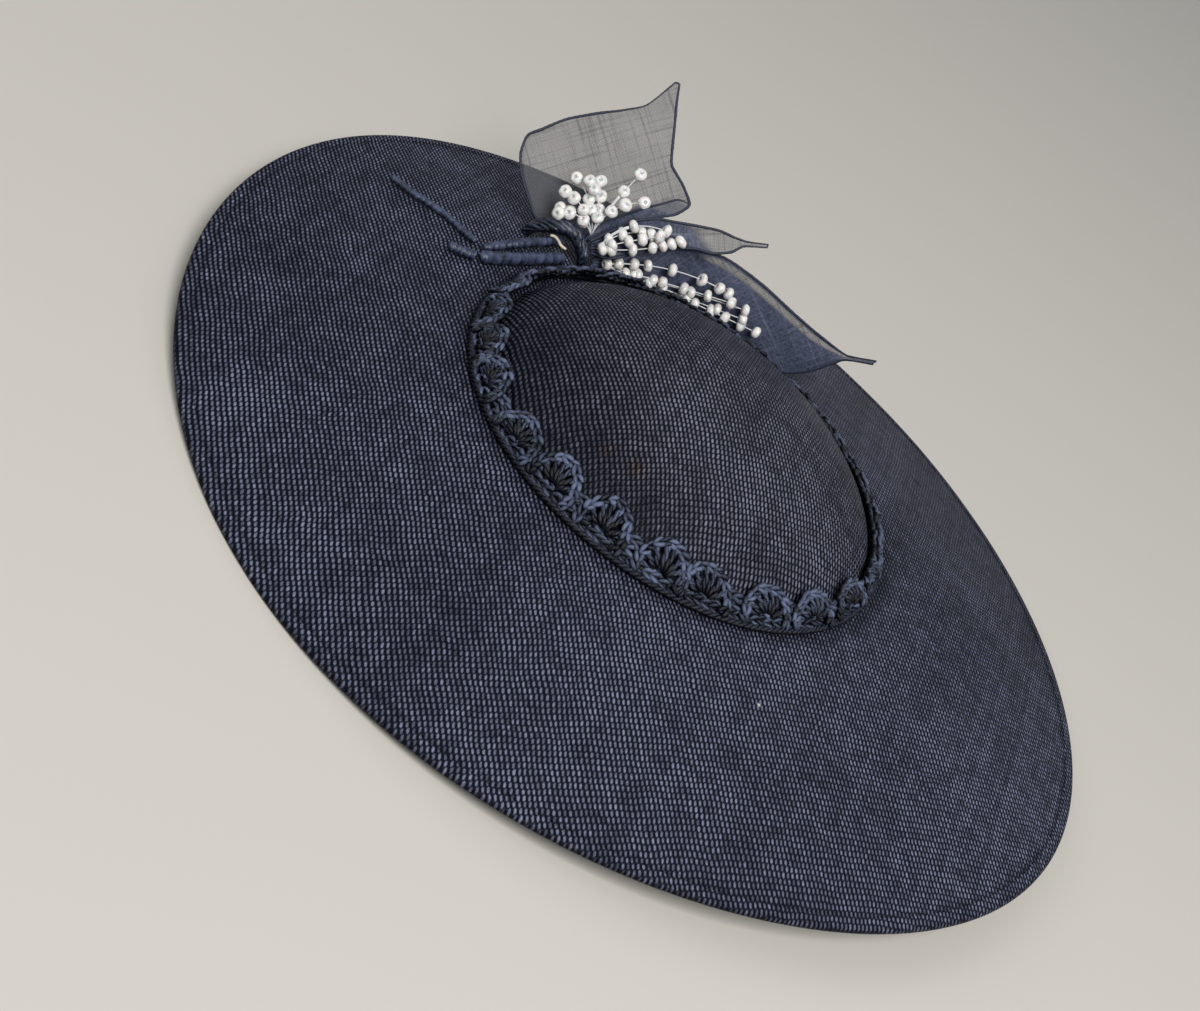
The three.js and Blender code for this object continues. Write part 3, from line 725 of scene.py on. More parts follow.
# Two strands twisted round each other along a line. place gives a point of it, its side and its normal.
def twistedRope(heap, place, shape, yarn, toneAt, closed=False):
    crest, gain = braid["crest"]
    count, apart, sides = shape["points"], shape["apart"], braid["ropeSides"]
    for strand in (0, math.pi):
        line, outward, base = [], [], []
        for i in range(count):
            share = i / (count if closed else count - 1)
            angle = share * shape["twists"] * 2 * math.pi + strand
            here, side, normal = place(share)
            line.append(here + side * (apart * math.cos(angle)) + normal * (apart * math.sin(angle)))
            outward.append(normal)
            base.append(toneAt(share) + crest)
        points, faces = rope(line, sides, lambda t, a: yarn, closed=closed)
        heap.add(points, faces, crestTones(line, points, sides, outward, base, gain))


def crochetRows(heap, chance):
    shape = braid["footRope"]

    def foundation(share):
        turn = 2 * math.pi * share
        out = Vector((math.cos(turn), math.sin(turn), 0))
        place, _ = braidPoint(turn, 0, 0)
        return place + out * shape["out"] + Vector((0, 0, shape["up"])), out, Vector((0, 0, 1))

    twistedRope(heap, foundation, shape, shape["yarn"], lambda share: shape["tone"], closed=True)
    beyond, less = braid["rowReach"]
    litShare, lit = braid["litStitches"]
    for h, tone in braid["rows"]:
        reach = braid["pitchLine"] + beyond - h * less
        number = round(2 * math.pi * reach / braid["stitch"])
        for i in range(number):
            turn = 2 * math.pi * i / number
            here, normal = braidPoint(turn, chance.uniform(-0.3, 0.3), h + chance.uniform(-0.5, 0.5),
                                      chance.uniform(-0.5, 0.3))
            along = Vector((-math.sin(turn), math.cos(turn), chance.uniform(-0.15, 0.15))).normalized()
            # a share of the stitches gets a painted highlight
            shade = tone + (lit if chance.random() < litShare else 0.0)
            crochetStitch(heap, here, along, normal, braid["stitch"], braid["rowWidth"], shade, chance)


def fanTall(k):
    return braid["tall"][(k - braid["countFrom"]) % braid["fans"]]


def fanTurn(k, chance):
    index = (k - braid["countFrom"]) % braid["fans"]
    nudge = braid["nudge"][index] if index < len(braid["nudge"]) else chance.uniform(-1.5, 1.5)
    return math.radians(braid["firstFan"] + k * 360 / braid["fans"] + nudge)


def arcPlace(arc, angle):
    width, middle, rise = arc
    return width * math.sin(angle), middle + rise * math.cos(angle)


def crochetFan(heap, turn, tall, chance):
    lean = chance.uniform(-1.0, 1.0)
    fat = chance.uniform(0.94, 1.08)

    def onFan(s, h, lift):
        return braidPoint(turn, s * fat + lean * h / braid["slope"], h * tall, lift)

    spread, shape = braid["ribSpread"], braid["ribRope"]
    low, hump, rise = braid["ribLift"]
    dark, gain = braid["ribTone"]
    for rib in range(braid["ribs"]):
        angle = math.radians(-spread + rib * 2 * spread / (braid["ribs"] - 1) + chance.uniform(-4, 4))
        foot, head = arcPlace(braid["ribFoot"], angle), arcPlace(braid["ribHead"], angle)

        def ribPlace(share):
            s = foot[0] + (head[0] - foot[0]) * share
            h = foot[1] + (head[1] - foot[1]) * share
            here, normal = onFan(s, h, low + hump * math.sin(math.pi * share) + rise * share)
            ahead, _ = onFan(s + 0.1 * math.cos(angle), h - 0.1 * math.sin(angle), low)
            back, _ = onFan(s, h, low)
            return here, (ahead - back).normalized(), normal

        shade = chance.uniform(-0.25, 0.2)
        # painted shade at the rib's foot, painted light towards its head
        twistedRope(heap, ribPlace, shape, shape["yarn"] * chance.uniform(0.92, 1.12),
                    lambda share: dark + gain * share**1.3 + shade)
    spread, last = braid["rimSpread"], braid["rimPoints"] - 1
    outline = []
    for i in range(last + 1):
        outline.append(arcPlace(braid["fanRim"], math.radians(-spread + 2 * spread * i / last)))
    lengths = lengthsAlong(outline)
    number = round(lengths[-1] / (braid["stitch"] * braid["rimStitch"]))
    uneven = braid["rimUneven"]
    for i in range(number):
        wanted = lengths[-1] * (i + 0.5) / number
        j = max(n for n in range(last) if lengths[n] <= wanted)
        f = (wanted - lengths[j]) / (lengths[j + 1] - lengths[j])
        stepS = outline[j + 1][0] - outline[j][0]
        stepH = outline[j + 1][1] - outline[j][1]
        s, h = outline[j][0] + f * stepS, outline[j][1] + f * stepH
        lift = braid["rimLift"] + chance.uniform(-0.5, 0.6)
        here, normal = onFan(s, h, lift)
        ahead, _ = onFan(s + 0.1 * stepS, h + 0.1 * stepH, lift)
        fromMiddle = abs(2 * (i + 0.5) / number - 1)
        # painted light on the fan's rim, painted shade towards its ends
        shade = braid["rimTone"] + chance.uniform(-uneven, uneven)
        shade -= braid["rimEndShade"] * blendTo(0.6, 1.0, fromMiddle)
        across = normal.cross(ahead - here).normalized()
        askew = ((ahead - here).normalized() + across * chance.uniform(-0.4, 0.4)).normalized()
        crochetStitch(heap, here, askew, normal, braid["stitch"] * chance.uniform(0.85, 1.05),
                      chance.uniform(0.95, 1.25), shade, chance)


# A near-black sheet inside the braid: painted shade that fills the gaps between the ribs.
def braidShadeSheet(heap):
    shadeSheet = braid["shadeSheet"]
    steps, levels, foot = shadeSheet["steps"], shadeSheet["levels"], shadeSheet["foot"]
    points = []
    for i in range(steps):
        turn = 2 * math.pi * i / steps
        place = (math.degrees(turn) - braid["firstFan"]) / 360 * braid["fans"]
        fan = abs(math.cos(place * math.pi))
        before = math.floor(place)
        share = place - before
        tall = fanTall(before % braid["fans"]) * (1 - share) + fanTall((before + 1) % braid["fans"]) * share
        top = (shadeSheet["dip"] + shadeSheet["fan"] * fan**0.6) * tall
        for lift, order in ((shadeSheet["outer"], range(levels)), (shadeSheet["inner"], range(levels - 1, -1, -1))):
            for level in order:
                points.append(braidPoint(turn, 0, foot + (top - foot) * level / (levels - 1), lift)[0])
    heap.add(points, ringFaces(steps, 2 * levels, closed=True, inward=True), tone=0.0)


def crochetYarn():
    board = Board("crochetYarn")
    fibre = board.cloud(2600, 3.0, roughness=0.7)
    # the tone paints highlights on the crests and shade in the crevices
    share = board.plus(board.times(board.tone(), 0.7), board.times(fibre, 0.5))
    share = board.spread(share, 0.0, 1.0, 0.3, 1.15, smooth=True)
    colour = board.tint(share, braid["yarnInShade"], braid["yarnInLight"])
    board.emboss(fibre, 0.3, 0.7)
    return board.finish(Base_Color=colour, Roughness=board.spread(fibre, 0.3, 0.48), Specular_IOR_Level=0.28)


def buildBraid():
    chance = random.Random(braid["seed"])
    heap = Heap()
    braidShadeSheet(heap)
    crochetRows(heap, chance)
    for k in range(braid["fans"]):
        turn, tall = fanTurn(k, chance), fanTall(k)
        crochetFan(heap, turn, tall * chance.uniform(0.96, 1.04), chance)
        between = turn + math.pi / braid["fans"]
        for s, h in braid["dipStitches"]:
            here, normal = braidPoint(between, s, h * tall, chance.uniform(0, 0.6))
            along = Vector((-math.sin(between), math.cos(between), chance.uniform(-0.3, 0.3))).normalized()
            crochetStitch(heap, here, along, normal, braid["stitch"], braid["dipWidth"], braid["dipTone"],
                          chance)
    made = heap.piece("crochetBraid", crochetYarn(), "braid")
    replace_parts(made, "crochet_braid")
    print("braid has", sum(len(p.vertices) - 2 for p in made.data.polygons), "triangles")


buildBraid()
print("braid crocheted")

# Petals. across and rise are in a plane through the trim's root that leans back.
trimRoot = Vector((-80, 60, 33.7))
trimLean = math.radians(33)
trimUp = Vector((0, math.sin(trimLean), math.cos(trimLean)))
trimFront = Vector((0, -math.cos(trimLean), math.sin(trimLean)))


def trimPoint(across, rise, forward, yaw):
    step = Vector((1, 0, 0)) * across + trimUp * rise + trimFront * forward
    return trimRoot + Matrix.Rotation(math.radians(yaw), 3, "Z") @ step


# A column of a petal's rows at the share v of the way from its foot.
def columnAt(petal, column, v):
    rows = petal["rows"]
    place = v * (len(rows) - 1)
    i = min(int(place), len(rows) - 2)
    f = place - i
    bend = 0.35  # how much of the step between its neighbours a row leans along

    def at(k):
        return rows[max(0, min(len(rows) - 1, k))][column]

    a, b, c, d = at(i - 1), at(i), at(i + 1), at(i + 2)
    level = b * (1 - f) ** 2 * (1 + 2 * f) + c * f**2 * (3 - 2 * f)
    return level + bend * (c - a) * f * (1 - f) ** 2 - bend * (d - b) * f**2 * (1 - f)


# left across, left rise, right across, right rise, forward, billow; from the gathered foot to the tail
upperPetal = {
    "name": "petalUpper",
    "yaw": 0,
    "threads": 54.4,  # degrees from across, the way the cloth's threads run
    "flat": (0.062, 0.084),
    "rows": [
        (-7.5, 2.0, -3, 5, -2.6, 0),
        (-23.3, -0.5, 0.5, 12.5, -5, 1),
        (-31, 3.6, 6.5, 21, -5, 4),
        (-40, 9.9, 13, 29.8, -5, 4),
        (-45.5, 16.5, 17.6, 34.8, -5, 3),
        (-47.5, 23.5, 19.5, 41, -5, 2),
        (-44.5, 29, 12.8, 45.4, -5, 1),
        (-39, 38.5, 4.8, 48.8, -5, -1),
        (-31.7, 46.6, 1.5, 53, -5, -2),
        (-23.8, 54.5, -4.2, 62, -5, -1),
        (-17.7, 61.9, -9, 69.5, -5, 0),
        (-14.3, 75.6, -12.7, 76.1, -5, 0),
    ],
    # each fold as shares across and along
    "folds": [[(0.99, 0.46), (0.93, 0.455), (0.88, 0.4), (0.84, 0.3), (0.79, 0.2), (0.7, 0.1), (0.6, 0.03)]],
}
middlePetal = {
    "name": "petalMiddle",
    "yaw": 10,
    "threads": 35,
    "flat": (0.018, 0.07),
    "rows": [
        (-1.6, 5.4, 1, 1.6, -0.3, 0),
        (3, 13, 8.5, 3.8, 0.5, 1),
        (9.5, 22, 16.6, 11.7, 0.5, 2),
        (16, 27, 23, 17.2, 0.5, 2),
        (23, 30, 28.6, 21.7, 0.5, 1.5),
        (31, 33.5, 35, 25.5, 0.5, 1),
        (39, 36.6, 42, 28, 0.5, 0.5),
        (45.4, 37.6, 47.6, 32.2, 0.5, 0),
        (50.7, 39, 50.6, 36.8, 0.5, 0),
        (58.4, 42.7, 58.6, 41.4, 0.5, 0),
    ],
    "folds": [
        [(0.75, 0.02), (0.8, 0.15), (0.84, 0.3), (0.9, 0.45), (0.98, 0.62)],
        [(0.3, 0.02), (0.3, 0.15), (0.42, 0.3), (0.6, 0.45)],
    ],
}
# turn round the dome, foot and head above the ledge, distance from the dome's middle
lowerPetal = {
    "name": "petalLower",
    "threads": -28,
    "flat": (0.027, 0.13),
    "rows": [
        (137.2, 0.1, 4.8, 97.6),
        (133, -0.4, 7.5, 97.8),
        (127, -0.4, 12, 98),
        (118, -0.4, 20, 98.4),
        (109, -0.4, 25, 98.6),
        (97.5, -0.4, 24, 98.4),
        (88, -0.4, 22.2, 98.2),
        (81, -0.2, 22, 98.2),
        (76, 8.5, 22.6, 98.4),
        (73, 17.5, 23.4, 98.6),
        (71.3, 22.5, 24.6, 98.6),
        (65.6, 30.2, 31.4, 99),
    ],
    "folds": [],
}
organza = {
    "columns": 32,
    "rowsEach": 8,
    "thickness": 0.12,
    "hem": 0.56,
    "hemPoints": 300,
    "hemSides": 7,
    "hemRidges": (0.1, 620),  # depth and number of the thread's turns
    "hemLumps": (0.15, 60),
    "tailHem": 0.5,  # share of the hem's thickness left at the tail
    "tailReach": 0.07,
    "foldPoints": 60,
    "flutter": 0.5,
    "flutterSize": 0.09,
    "pleats": 5,
    "pleatDepth": 0.8,
    "pleatReach": 0.22,
}


def leaningFlat(petal, u, v):
    left, leftRise, right, rightRise = [columnAt(petal, column, v) for column in range(4)]
    return left * (1 - u) + right * u, leftRise * (1 - u) + rightRise * u


def leaningPlace(petal, u, v):
    billow = columnAt(petal, 5, v) * math.sin(math.pi * u)
    return trimPoint(*leaningFlat(petal, u, v), columnAt(petal, 4, v) - billow, petal["yaw"])


def standingFlat(petal, u, v):
    turn, foot, head, out = [columnAt(petal, column, v) for column in range(4)]
    return -math.radians(turn) * out, foot * (1 - u) + head * u


def standingPlace(petal, u, v):
    reach = columnAt(petal, 3, v) + 1.5 * u - 1.2 * math.sin(math.pi * u)
    return aroundDome(math.radians(columnAt(petal, 0, v)), reach, standingFlat(petal, u, v)[1])


# cover is how close the cloth is at a point: 0 where it is a single sheer layer, 1 where it hides all behind.
def buildPetal(petal, node, placeAt, flatAt, cover, material):
    columns, rows = organza["columns"], organza["rowsEach"] * (len(petal["rows"]) - 1)
    turn = math.radians(petal["threads"])

    def surface(u, v):
        point = placeAt(petal, u, v)
        ahead = placeAt(petal, min(u + 0.01, 1), v) - placeAt(petal, max(u - 0.01, 0), v)
        up = placeAt(petal, u, min(v + 0.01, 1)) - placeAt(petal, u, max(v - 0.01, 0))
        normal = ahead.cross(up).normalized()
        flutter = noise.noise(point * organza["flutterSize"]) * organza["flutter"] * blendTo(0.0, 0.25, v)
        pleat = math.cos(u * organza["pleats"] * 2 * math.pi) * organza["pleatDepth"]
        return point + normal * (flutter + pleat * (1 - blendTo(0.0, organza["pleatReach"], v)))

    heap = Heap()
    grid, tones = [], []
    for r in range(rows + 1):
        for c in range(columns + 1):
            u, v = c / columns, r / rows
            grid.append(surface(u, v))
            tones.append(cover(u, v))
            a, b = flatAt(petal, u, v)
            along = a * math.cos(turn) + b * math.sin(turn)
            heap.cloth.append((along, b * math.cos(turn) - a * math.sin(turn)))
    faces = []
    for r in range(rows):
        for c in range(columns):
            a = r * (columns + 1) + c
            faces.append((a, a + 1, a + columns + 2, a + columns + 1))
    heap.add(grid, faces, tones)
    made = heap.piece(petal["name"], material, "organza")
    area = sum(p.area for p in made.data.polygons)
    shell = made.modifiers.new("cloth", "SOLIDIFY")
    shell.thickness = organza["thickness"] * mm
    shell.offset = 0
    # rolled hem round the edge
    border = [grid[r * (columns + 1)] for r in range(rows + 1)]
    border += [grid[rows * (columns + 1) + c] for c in range(1, columns)]
    border += [grid[r * (columns + 1) + columns] for r in range(rows, -1, -1)]
    hem = Heap()
    sides = organza["hemSides"]

    def hemRadius(t, angle):
        depth, turns = organza["hemRidges"]
        swell, often = organza["hemLumps"]
        fromTail = (t - 0.5) / organza["tailReach"]
        tail = 1 - (1 - organza["tailHem"]) * math.exp(-(fromTail**2))
        lump = swell * noise.noise(Vector((t * often, 1.7, 0.3)))
        return organza["hem"] * tail * (1 + depth * math.sin(t * turns + angle) + lump)

    hem.add(*rope(smoothLine(border, organza["hemPoints"]), sides, hemRadius), tone=0.5)
    for fold in petal["folds"]:
        line = smoothLine([surface(u, v) for u, v in fold], organza["foldPoints"])
        hem.add(*rope(line, sides, lambda t, a: 0.5 * organza["hem"] * (1 + math.sin(math.pi * t))), tone=0.7)
    edge = hem.piece(petal["name"] + "Hem", hemThread, "organza")
    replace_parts(made, node)
    width, length = petal["flat"]
    clamp(area, 0.31 * width * length, width * length)
    print(petal["name"], "has", round(area * 1e4, 1), "square cm of cloth")


cloth = {
    "threadsPerMetre": 1750,
    "slubs": (32.0, 1250.0),  # scale along a thread and across it
    "bands": (12.0, 130),
    "slubShare": 0.75,
    "bandShare": 0.12,
    "lineShare": 0.42,
    "sheer": (0.125, 0.13, 0.15),
    "dense": (0.013, 0.018, 0.04),
    "lit": (0.17, 0.195, 0.29),  # painted highlight: bluish threads that catch the light on folded cloth
    "lowerSheer": (0.06, 0.066, 0.085),
    "lowerDense": (0.024, 0.031, 0.062),
    "darkHem": (0.006, 0.008, 0.017),
    "lightHem": (0.05, 0.064, 0.11),
}


def organzaCloth(name, sheer, dense):
    board = Board(name)
    a, b, _ = board.cloth()

    def threads(along, across, seed):
        def streaks(scales, detail, fromLow, fromHigh):
            stretched = board.join(board.times(along, scales[0]), board.times(across, scales[1]), seed)
            return board.spread(board.cloud(1.0, detail, stretched), 0.0, 1.0, fromLow, fromHigh)

        weaving = board.times(across, cloth["threadsPerMetre"] * math.pi)
        line = board.calc("POWER", board.calc("ABSOLUTE", board.calc("SINE", weaving)), 1.5)
        slub = streaks(cloth["slubs"], 3.0, 0.52, 0.8)
        band = board.times(streaks(cloth["bands"], 2.0, 0.42, 0.68), cloth["bandShare"])
        uneven = board.calc("MULTIPLY_ADD", slub, cloth["slubShare"], band)
        return board.calc("MULTIPLY_ADD", line, cloth["lineShare"], uneven)

    thick = board.times(board.plus(threads(a, b, 1.3), threads(b, a, 7.9)), 0.55)
    held = board.tone()
    sheerCover = board.times(board.spread(thick, 0.16, 0.7, 0.05, 0.9), board.minus(1.0, held))
    denseCover = board.times(held, board.spread(thick, 0.86, 1.0, 0.1, 0.6))
    alpha = board.calc("ADD", sheerCover, denseCover, clamp=True)
    thin = board.tint(board.spread(thick, 0.0, 1.0, 0.1, 0.9), sheer, tuple(value * 0.45 for value in sheer))
    grain = board.calc("MULTIPLY_ADD", board.cloud(900.0, 3.0), 0.6, board.times(thick, 0.6))
    # streaks of painted highlight on the folded cloth
    folded = board.tint(board.spread(grain, 0.0, 0.85, 0.33, 0.85), dense, cloth["lit"])
    colour = board.tint(board.spread(held, 0.0, 1.0, 0.15, 0.75), thin, folded)
    board.emboss(thick, 0.15, 0.5)
    return board.finish(Base_Color=colour, Alpha=alpha, Roughness=0.5, Specular_IOR_Level=0.3)


sheerUpper = organzaCloth("sheerOrganza", cloth["sheer"], cloth["dense"])
sheerLower = organzaCloth("denseOrganza", cloth["lowerSheer"], cloth["lowerDense"])


def rolledEdge():
    board = Board("rolledHem")
    fuzz = board.cloud(3200, 3.0, roughness=0.7)
    colour = board.tint(board.spread(fuzz, 0.0, 1.0, 0.35, 0.75), cloth["darkHem"], cloth["lightHem"])
    board.emboss(fuzz, 0.2, 0.5)
    return board.finish(Base_Color=colour, Roughness=0.5, Specular_IOR_Level=0.35)


hemThread = rolledEdge()


# In the covers u goes from the left edge or the foot to the other edge, and v from the gathers to the tail.
def upperCover(u, v):
    fold = blendTo(0.76, 0.84, u) * (1 - blendTo(0.3, 0.42, v)) * 0.9
    strip = blendTo(0.84, 0.9, u) * (1 - blendTo(0.42, 0.47, v)) * 0.5
    foot = 1 - blendTo(0.02, 0.14, v)
    return clamp(max(fold, strip, foot))


def middleCover(u, v):
    body = 1 - blendTo(0.42, 0.56, v - 0.16 * u)
    return clamp(0.1 + 0.86 * body)


def lowerCover(u, v):
    strip = blendTo(0.82, 0.86, u) * (1 - blendTo(0.94, 0.97, u))
    strip = strip * blendTo(0.3, 0.36, v) * (1 - blendTo(0.9, 0.97, v))
    tail = blendTo(0.78, 0.86, v) * blendTo(0.35, 0.6, u) * 0.45
    return clamp(0.97 - 0.85 * strip - tail)


buildPetal(upperPetal, "petal_upper", leaningPlace, leaningFlat, upperCover, sheerUpper)
buildPetal(middlePetal, "petal_middle", leaningPlace, leaningFlat, middleCover, sheerUpper)
buildPetal(lowerPetal, "petal_lower", standingPlace, standingFlat, lowerCover, sheerLower)
print("petals hemmed")

# Stems, quill and binding. Points are x, y and the height above the brim.
cords = {
    "stem_lower": {
        "piece": "wrappedStemLower", "radius": 2.5, "wrap": 4.2, "ridge": 0.1,
        "points": [(-107.4, 15.4, 2.9), (-99.4, 26.9, 2.9), (-93.0, 38.4, 3.0), (-86.0, 51.5, 3.2)],
    },
    "stem_upper": {
        "piece": "wrappedStemUpper", "radius": 1.9, "wrap": 2.8, "ridge": 0.17,
        "points": [(-109.6, 24.4, 2.4), (-105.8, 30.3, 3.6), (-99.7, 39.4, 6.0), (-92.8, 53.3, 6.5),
                   (-90.4, 57.8, 6.5)],
    },
    "quill_cord": {
        "piece": "quillCord", "radius": 1.4, "wrap": 2.4, "ridge": 0.1,
        "points": [(-155.9, 35.5, 2.4), (-145.3, 32.2, 2.6), (-136.6, 32.0, 2.4), (-127.4, 30.9, 2.0),
                   (-120.3, 28.0, 1.9), (-113.8, 24.8, 2.4)],
    },
    "stem_end": {
        "piece": "wrappedStemEnd", "radius": 1.9, "wrap": 2.0, "ridge": 0.25,
        "points": [(-118.9, 11.3, 2.3), (-115.4, 12.1, 2.4), (-112.3, 12.8, 2.5), (-108.9, 14.4, 2.8)],
    },
    "trim_binding": {
        "piece": "trimBinding", "radius": 2.0, "strands": 6, "spread": 0.82, "twists": 1.7, "seed": 12,
        "thickness": (0.55, 0.8), "rings": 90, "sides": 12,
        "points": [(-104.8, 59.5, 1.35), (-102.4, 58.4, 6.5), (-95.6, 58.6, 11.0), (-89.8, 60.4, 11.5),
                   (-84.7, 60.9, 8.9), (-81.0, 60.1, 5.4), (-79.6, 60.4, 1.35)],
    },
    "cream_thread": {
        "piece": "creamThread", "radius": 0.55, "wrap": 1.2, "ridge": 0.1,
        "points": [(-94.9, 51.6, 9.0), (-93.2, 51.7, 9.5), (-91.0, 50.3, 9.5), (-89.0, 48.3, 9.3),
                   (-86.6, 49.2, 8.6)],
    },
}
wrapping = {
    "sides": 20,
    "spacing": 0.3,  # between the rings of a stem
    # where the painted light on the cords and the binding comes from
    "lit": (0, -0.2, 1),
    "bindingLit": (0, -0.4, 1),
    "tones": (0.3, 0.5),  # painted shade of the sides, and the painted highlight that the top adds
    "bindingTones": (0.02, 0.5),
    "turnUneven": (0.35, 0.22),  # how strongly the turns wander, and how often
    "lumps": (0.1, 0.35),
    "edgeTones": (0.35, 0.25),  # painted highlight at the raised edge of a turn, painted shade where the next one begins
    "ribbonInShade": (0.0014, 0.002, 0.005),
    "ribbonInLight": (0.07, 0.093, 0.172),
    "shadeRibbon": (0.003, 0.0045, 0.011),
    "darkCream": (0.42, 0.36, 0.27),
    "lightCream": (0.8, 0.74, 0.62),
}


def ribbonWrap():
    board = Board("ribbonWrap")
    fibre = board.cloud(900, 4.0, roughness=0.65)
    long = board.cloud(160, 2.0)
    # painted light and shade from each point's tone, with fibre noise
    share = board.plus(board.times(board.tone(), 0.6), board.times(fibre, 0.55))
    share = board.spread(share, 0.0, 1.0, 0.3, 1.0)
    colour = board.tint(share, wrapping["ribbonInShade"], wrapping["ribbonInLight"])
    colour = board.tint(board.spread(long, 0.0, 0.7, 0.45, 0.7), colour, wrapping["shadeRibbon"])
    board.emboss(fibre, 0.35, 0.7)
    return board.finish(Base_Color=colour, Roughness=board.spread(fibre, 0.26, 0.42), Specular_IOR_Level=0.5)


def plainThread():
    board = Board("creamThread")
    fibre = board.cloud(3000, 3.0)
    board.emboss(fibre, 0.1, 0.5)
    colour = board.tint(fibre, wrapping["darkCream"], wrapping["lightCream"])
    return board.finish(Base_Color=colour, Roughness=0.6)


ribbon = ribbonWrap()
cream = plainThread()


def wrappedBody(path, cord):
    length = sum((b - a).length for a, b in zip(path, path[1:]))
    line = smoothLine(path, max(24, int(length / wrapping["spacing"])))
    sides = wrapping["sides"]

    def acrossTurn(t, angle):  # each turn of ribbon overlaps the one before
        swell, often = wrapping["turnUneven"]
        uneven = swell * noise.noise(Vector((t * length * often, 2.3, cord["radius"])))
        turns = t * length / cord["wrap"] + uneven + angle / (2 * math.pi)
        return turns - math.floor(turns)

    def radiusAt(t, angle):
        crease = cord["ridge"] * (acrossTurn(t, angle) ** 1.5 - 0.4)
        swell, often = wrapping["lumps"]
        lump = swell * noise.noise(Vector((t * length * often, math.cos(angle), math.sin(angle))))
        tip = 1 - 0.4 * (1 - blendTo(0.0, 0.04, t)) - 0.3 * blendTo(0.97, 1.0, t)
        return cord["radius"] * tip * (0.97 + crease + lump)

    points, faces = rope(line, sides, radiusAt)
    # painted highlight on top and at each turn's raised edge, painted shade on the sides and where the next
    # turn begins
    tones = crestTones(line, points, sides, Vector(wrapping["lit"]).normalized(), *wrapping["tones"])
    light, dark = wrapping["edgeTones"]
    shades = []
    for k, (tone, point) in enumerate(zip(tones, points)):
        across = acrossTurn(k // sides / (len(line) - 1), 2 * math.pi * (k % sides) / sides)
        shade = tone + 0.4 * noise.noise(point * 0.5)
        shades.append(clamp(shade + light * across**2 - dark * (1 - across) ** 3))
    return points, faces, shades


# Bunched cloth: strands of different thickness twisted round the path.
def bunchedBody(heap, path, cord):
    line = smoothLine(path, cord["rings"])
    last, sides = cord["rings"] - 1, cord["sides"]
    lit = Vector(wrapping["bindingLit"]).normalized()
    chance = random.Random(cord["seed"])
    for strand in range(cord["strands"]):
        phase = 2 * math.pi * strand / cord["strands"]
        thick = chance.uniform(*cord["thickness"]) * cord["radius"]
        twisted = []
        side = None
        for i, point in enumerate(line):
            along = (line[min(i + 1, last)] - line[max(i - 1, 0)]).normalized()
            if side is None:
                side = along.cross(Vector((0, 0.3, 1))).normalized()
            else:
                side = (side - along * side.dot(along)).normalized()
            angle = phase + i / last * cord["twists"] * 2 * math.pi
            apart = cord["radius"] * cord["spread"] * math.sin(math.pi * (0.12 + 0.76 * i / last)) ** 0.5
            other = along.cross(side)
            twisted.append(point + side * (apart * math.cos(angle)) + other * (apart * math.sin(angle)))

        def radiusAt(t, angle):
            lump = noise.noise(Vector((t * 14 + phase, math.cos(angle) * 0.9, math.sin(angle) * 0.9)))
            return thick * (0.75 + 0.35 * math.sin(math.pi * t)) * (1 + 0.5 * lump)

        points, faces = rope(twisted, sides, radiusAt)
        # painted highlight on top of each strand, painted shade beneath
        tones = crestTones(twisted, points, sides, lit, *wrapping["bindingTones"])
        heap.add(points, faces, [clamp(tone + 0.5 * noise.noise(p * 0.6)) for tone, p in zip(tones, points)])


def buildCords():
    for node, cord in cords.items():
        path = [Vector((x, y, brimTopAt(x, y) + lift)) for x, y, lift in cord["points"]]
        heap = Heap()
        if cord.get("strands"):
            bunchedBody(heap, path, cord)
        else:
            heap.add(*wrappedBody(path, cord))
        thread = node == "cream_thread"
        made = heap.piece(cord["piece"], cream if thread else ribbon, "cream" if thread else "cord")
        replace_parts(made, node)


buildCords()
print("stems wrapped")

bead = {
    "seed": 7,
    "radius": 2.72,
    "length": 3.8,
    "sides": 14,
    "rows": 8,
    "hole": 0.21,  # in radii
    "holeDepth": 0.5,
    "sizes": (0.93, 1.04),
    "lengths": (0.9, 1.05),
    "dents": 0.13,
    "tilt": 0.35,
    "thread": 0.24,
    "threadSteps": 24,
    "stalk": 0.62,
    "stalkSteps": 10,
    "stalkFrom": 0.25,  # where the thick part begins
    "white": (0.86, 0.85, 0.82),
    "clouded": (0.6, 0.61, 0.62),
    "blush": (0.82, 0.74, 0.74),
    # colour of the painted shade in the hole
    "holeShade": (0.42, 0.43, 0.45),
    "darkThread": (0.5, 0.52, 0.56),
    "lightThread": (0.75, 0.76, 0.78),
}
# Pearl sprays. Each thread has across, rise, forward of its tip, sideways bow, beads as shares of it, stalk.
upperSpray = {
    "yaw": 0,
    "facing": 2.4,  # how far the beads turn their ends to the front
    "root": (-3.3, 7.2, -0.6),
    "threads": [
        (-18, 5.6, 5.4, -3.4, (0.36, 0.76, 1), 0),
        (-19, 8, 2, -2.1, (0.36, 0.77, 1), 0),
        (-21, 14, 6, -2.5, (0.5, 0.8, 1), 0),
        (-21, 21, 3, -2.7, (0.42, 0.6, 1), 0),
        (-16, 23, 6, -3.2, (0.32, 0.84, 1), 0),
        (-13, 26, 2, -1.1, (0.48, 0.73, 1), 0),
        (-2, 37, 5, 0.9, (0.7, 1), 0.62),
        (6, 29, 7, 3.6, (0.47, 0.72, 1), 0),
    ],
}
middleSpray = {
    "yaw": 10,
    "facing": 0,
    "root": (2, 4, 3.5),
    "threads": [
        (21, 24, 7, 5.0, (0.57, 1), 0.5),
        (17, 20, 4, 3.0, (0.24, 0.5, 0.84, 1), 0),
        (20, 21, 7, 0.4, (0.24, 0.5, 0.72, 1), 0),
        (28, 24, 5, -1.6, (0.06, 0.17, 0.42, 0.66, 0.78, 0.89, 1), 0),
    ],
}
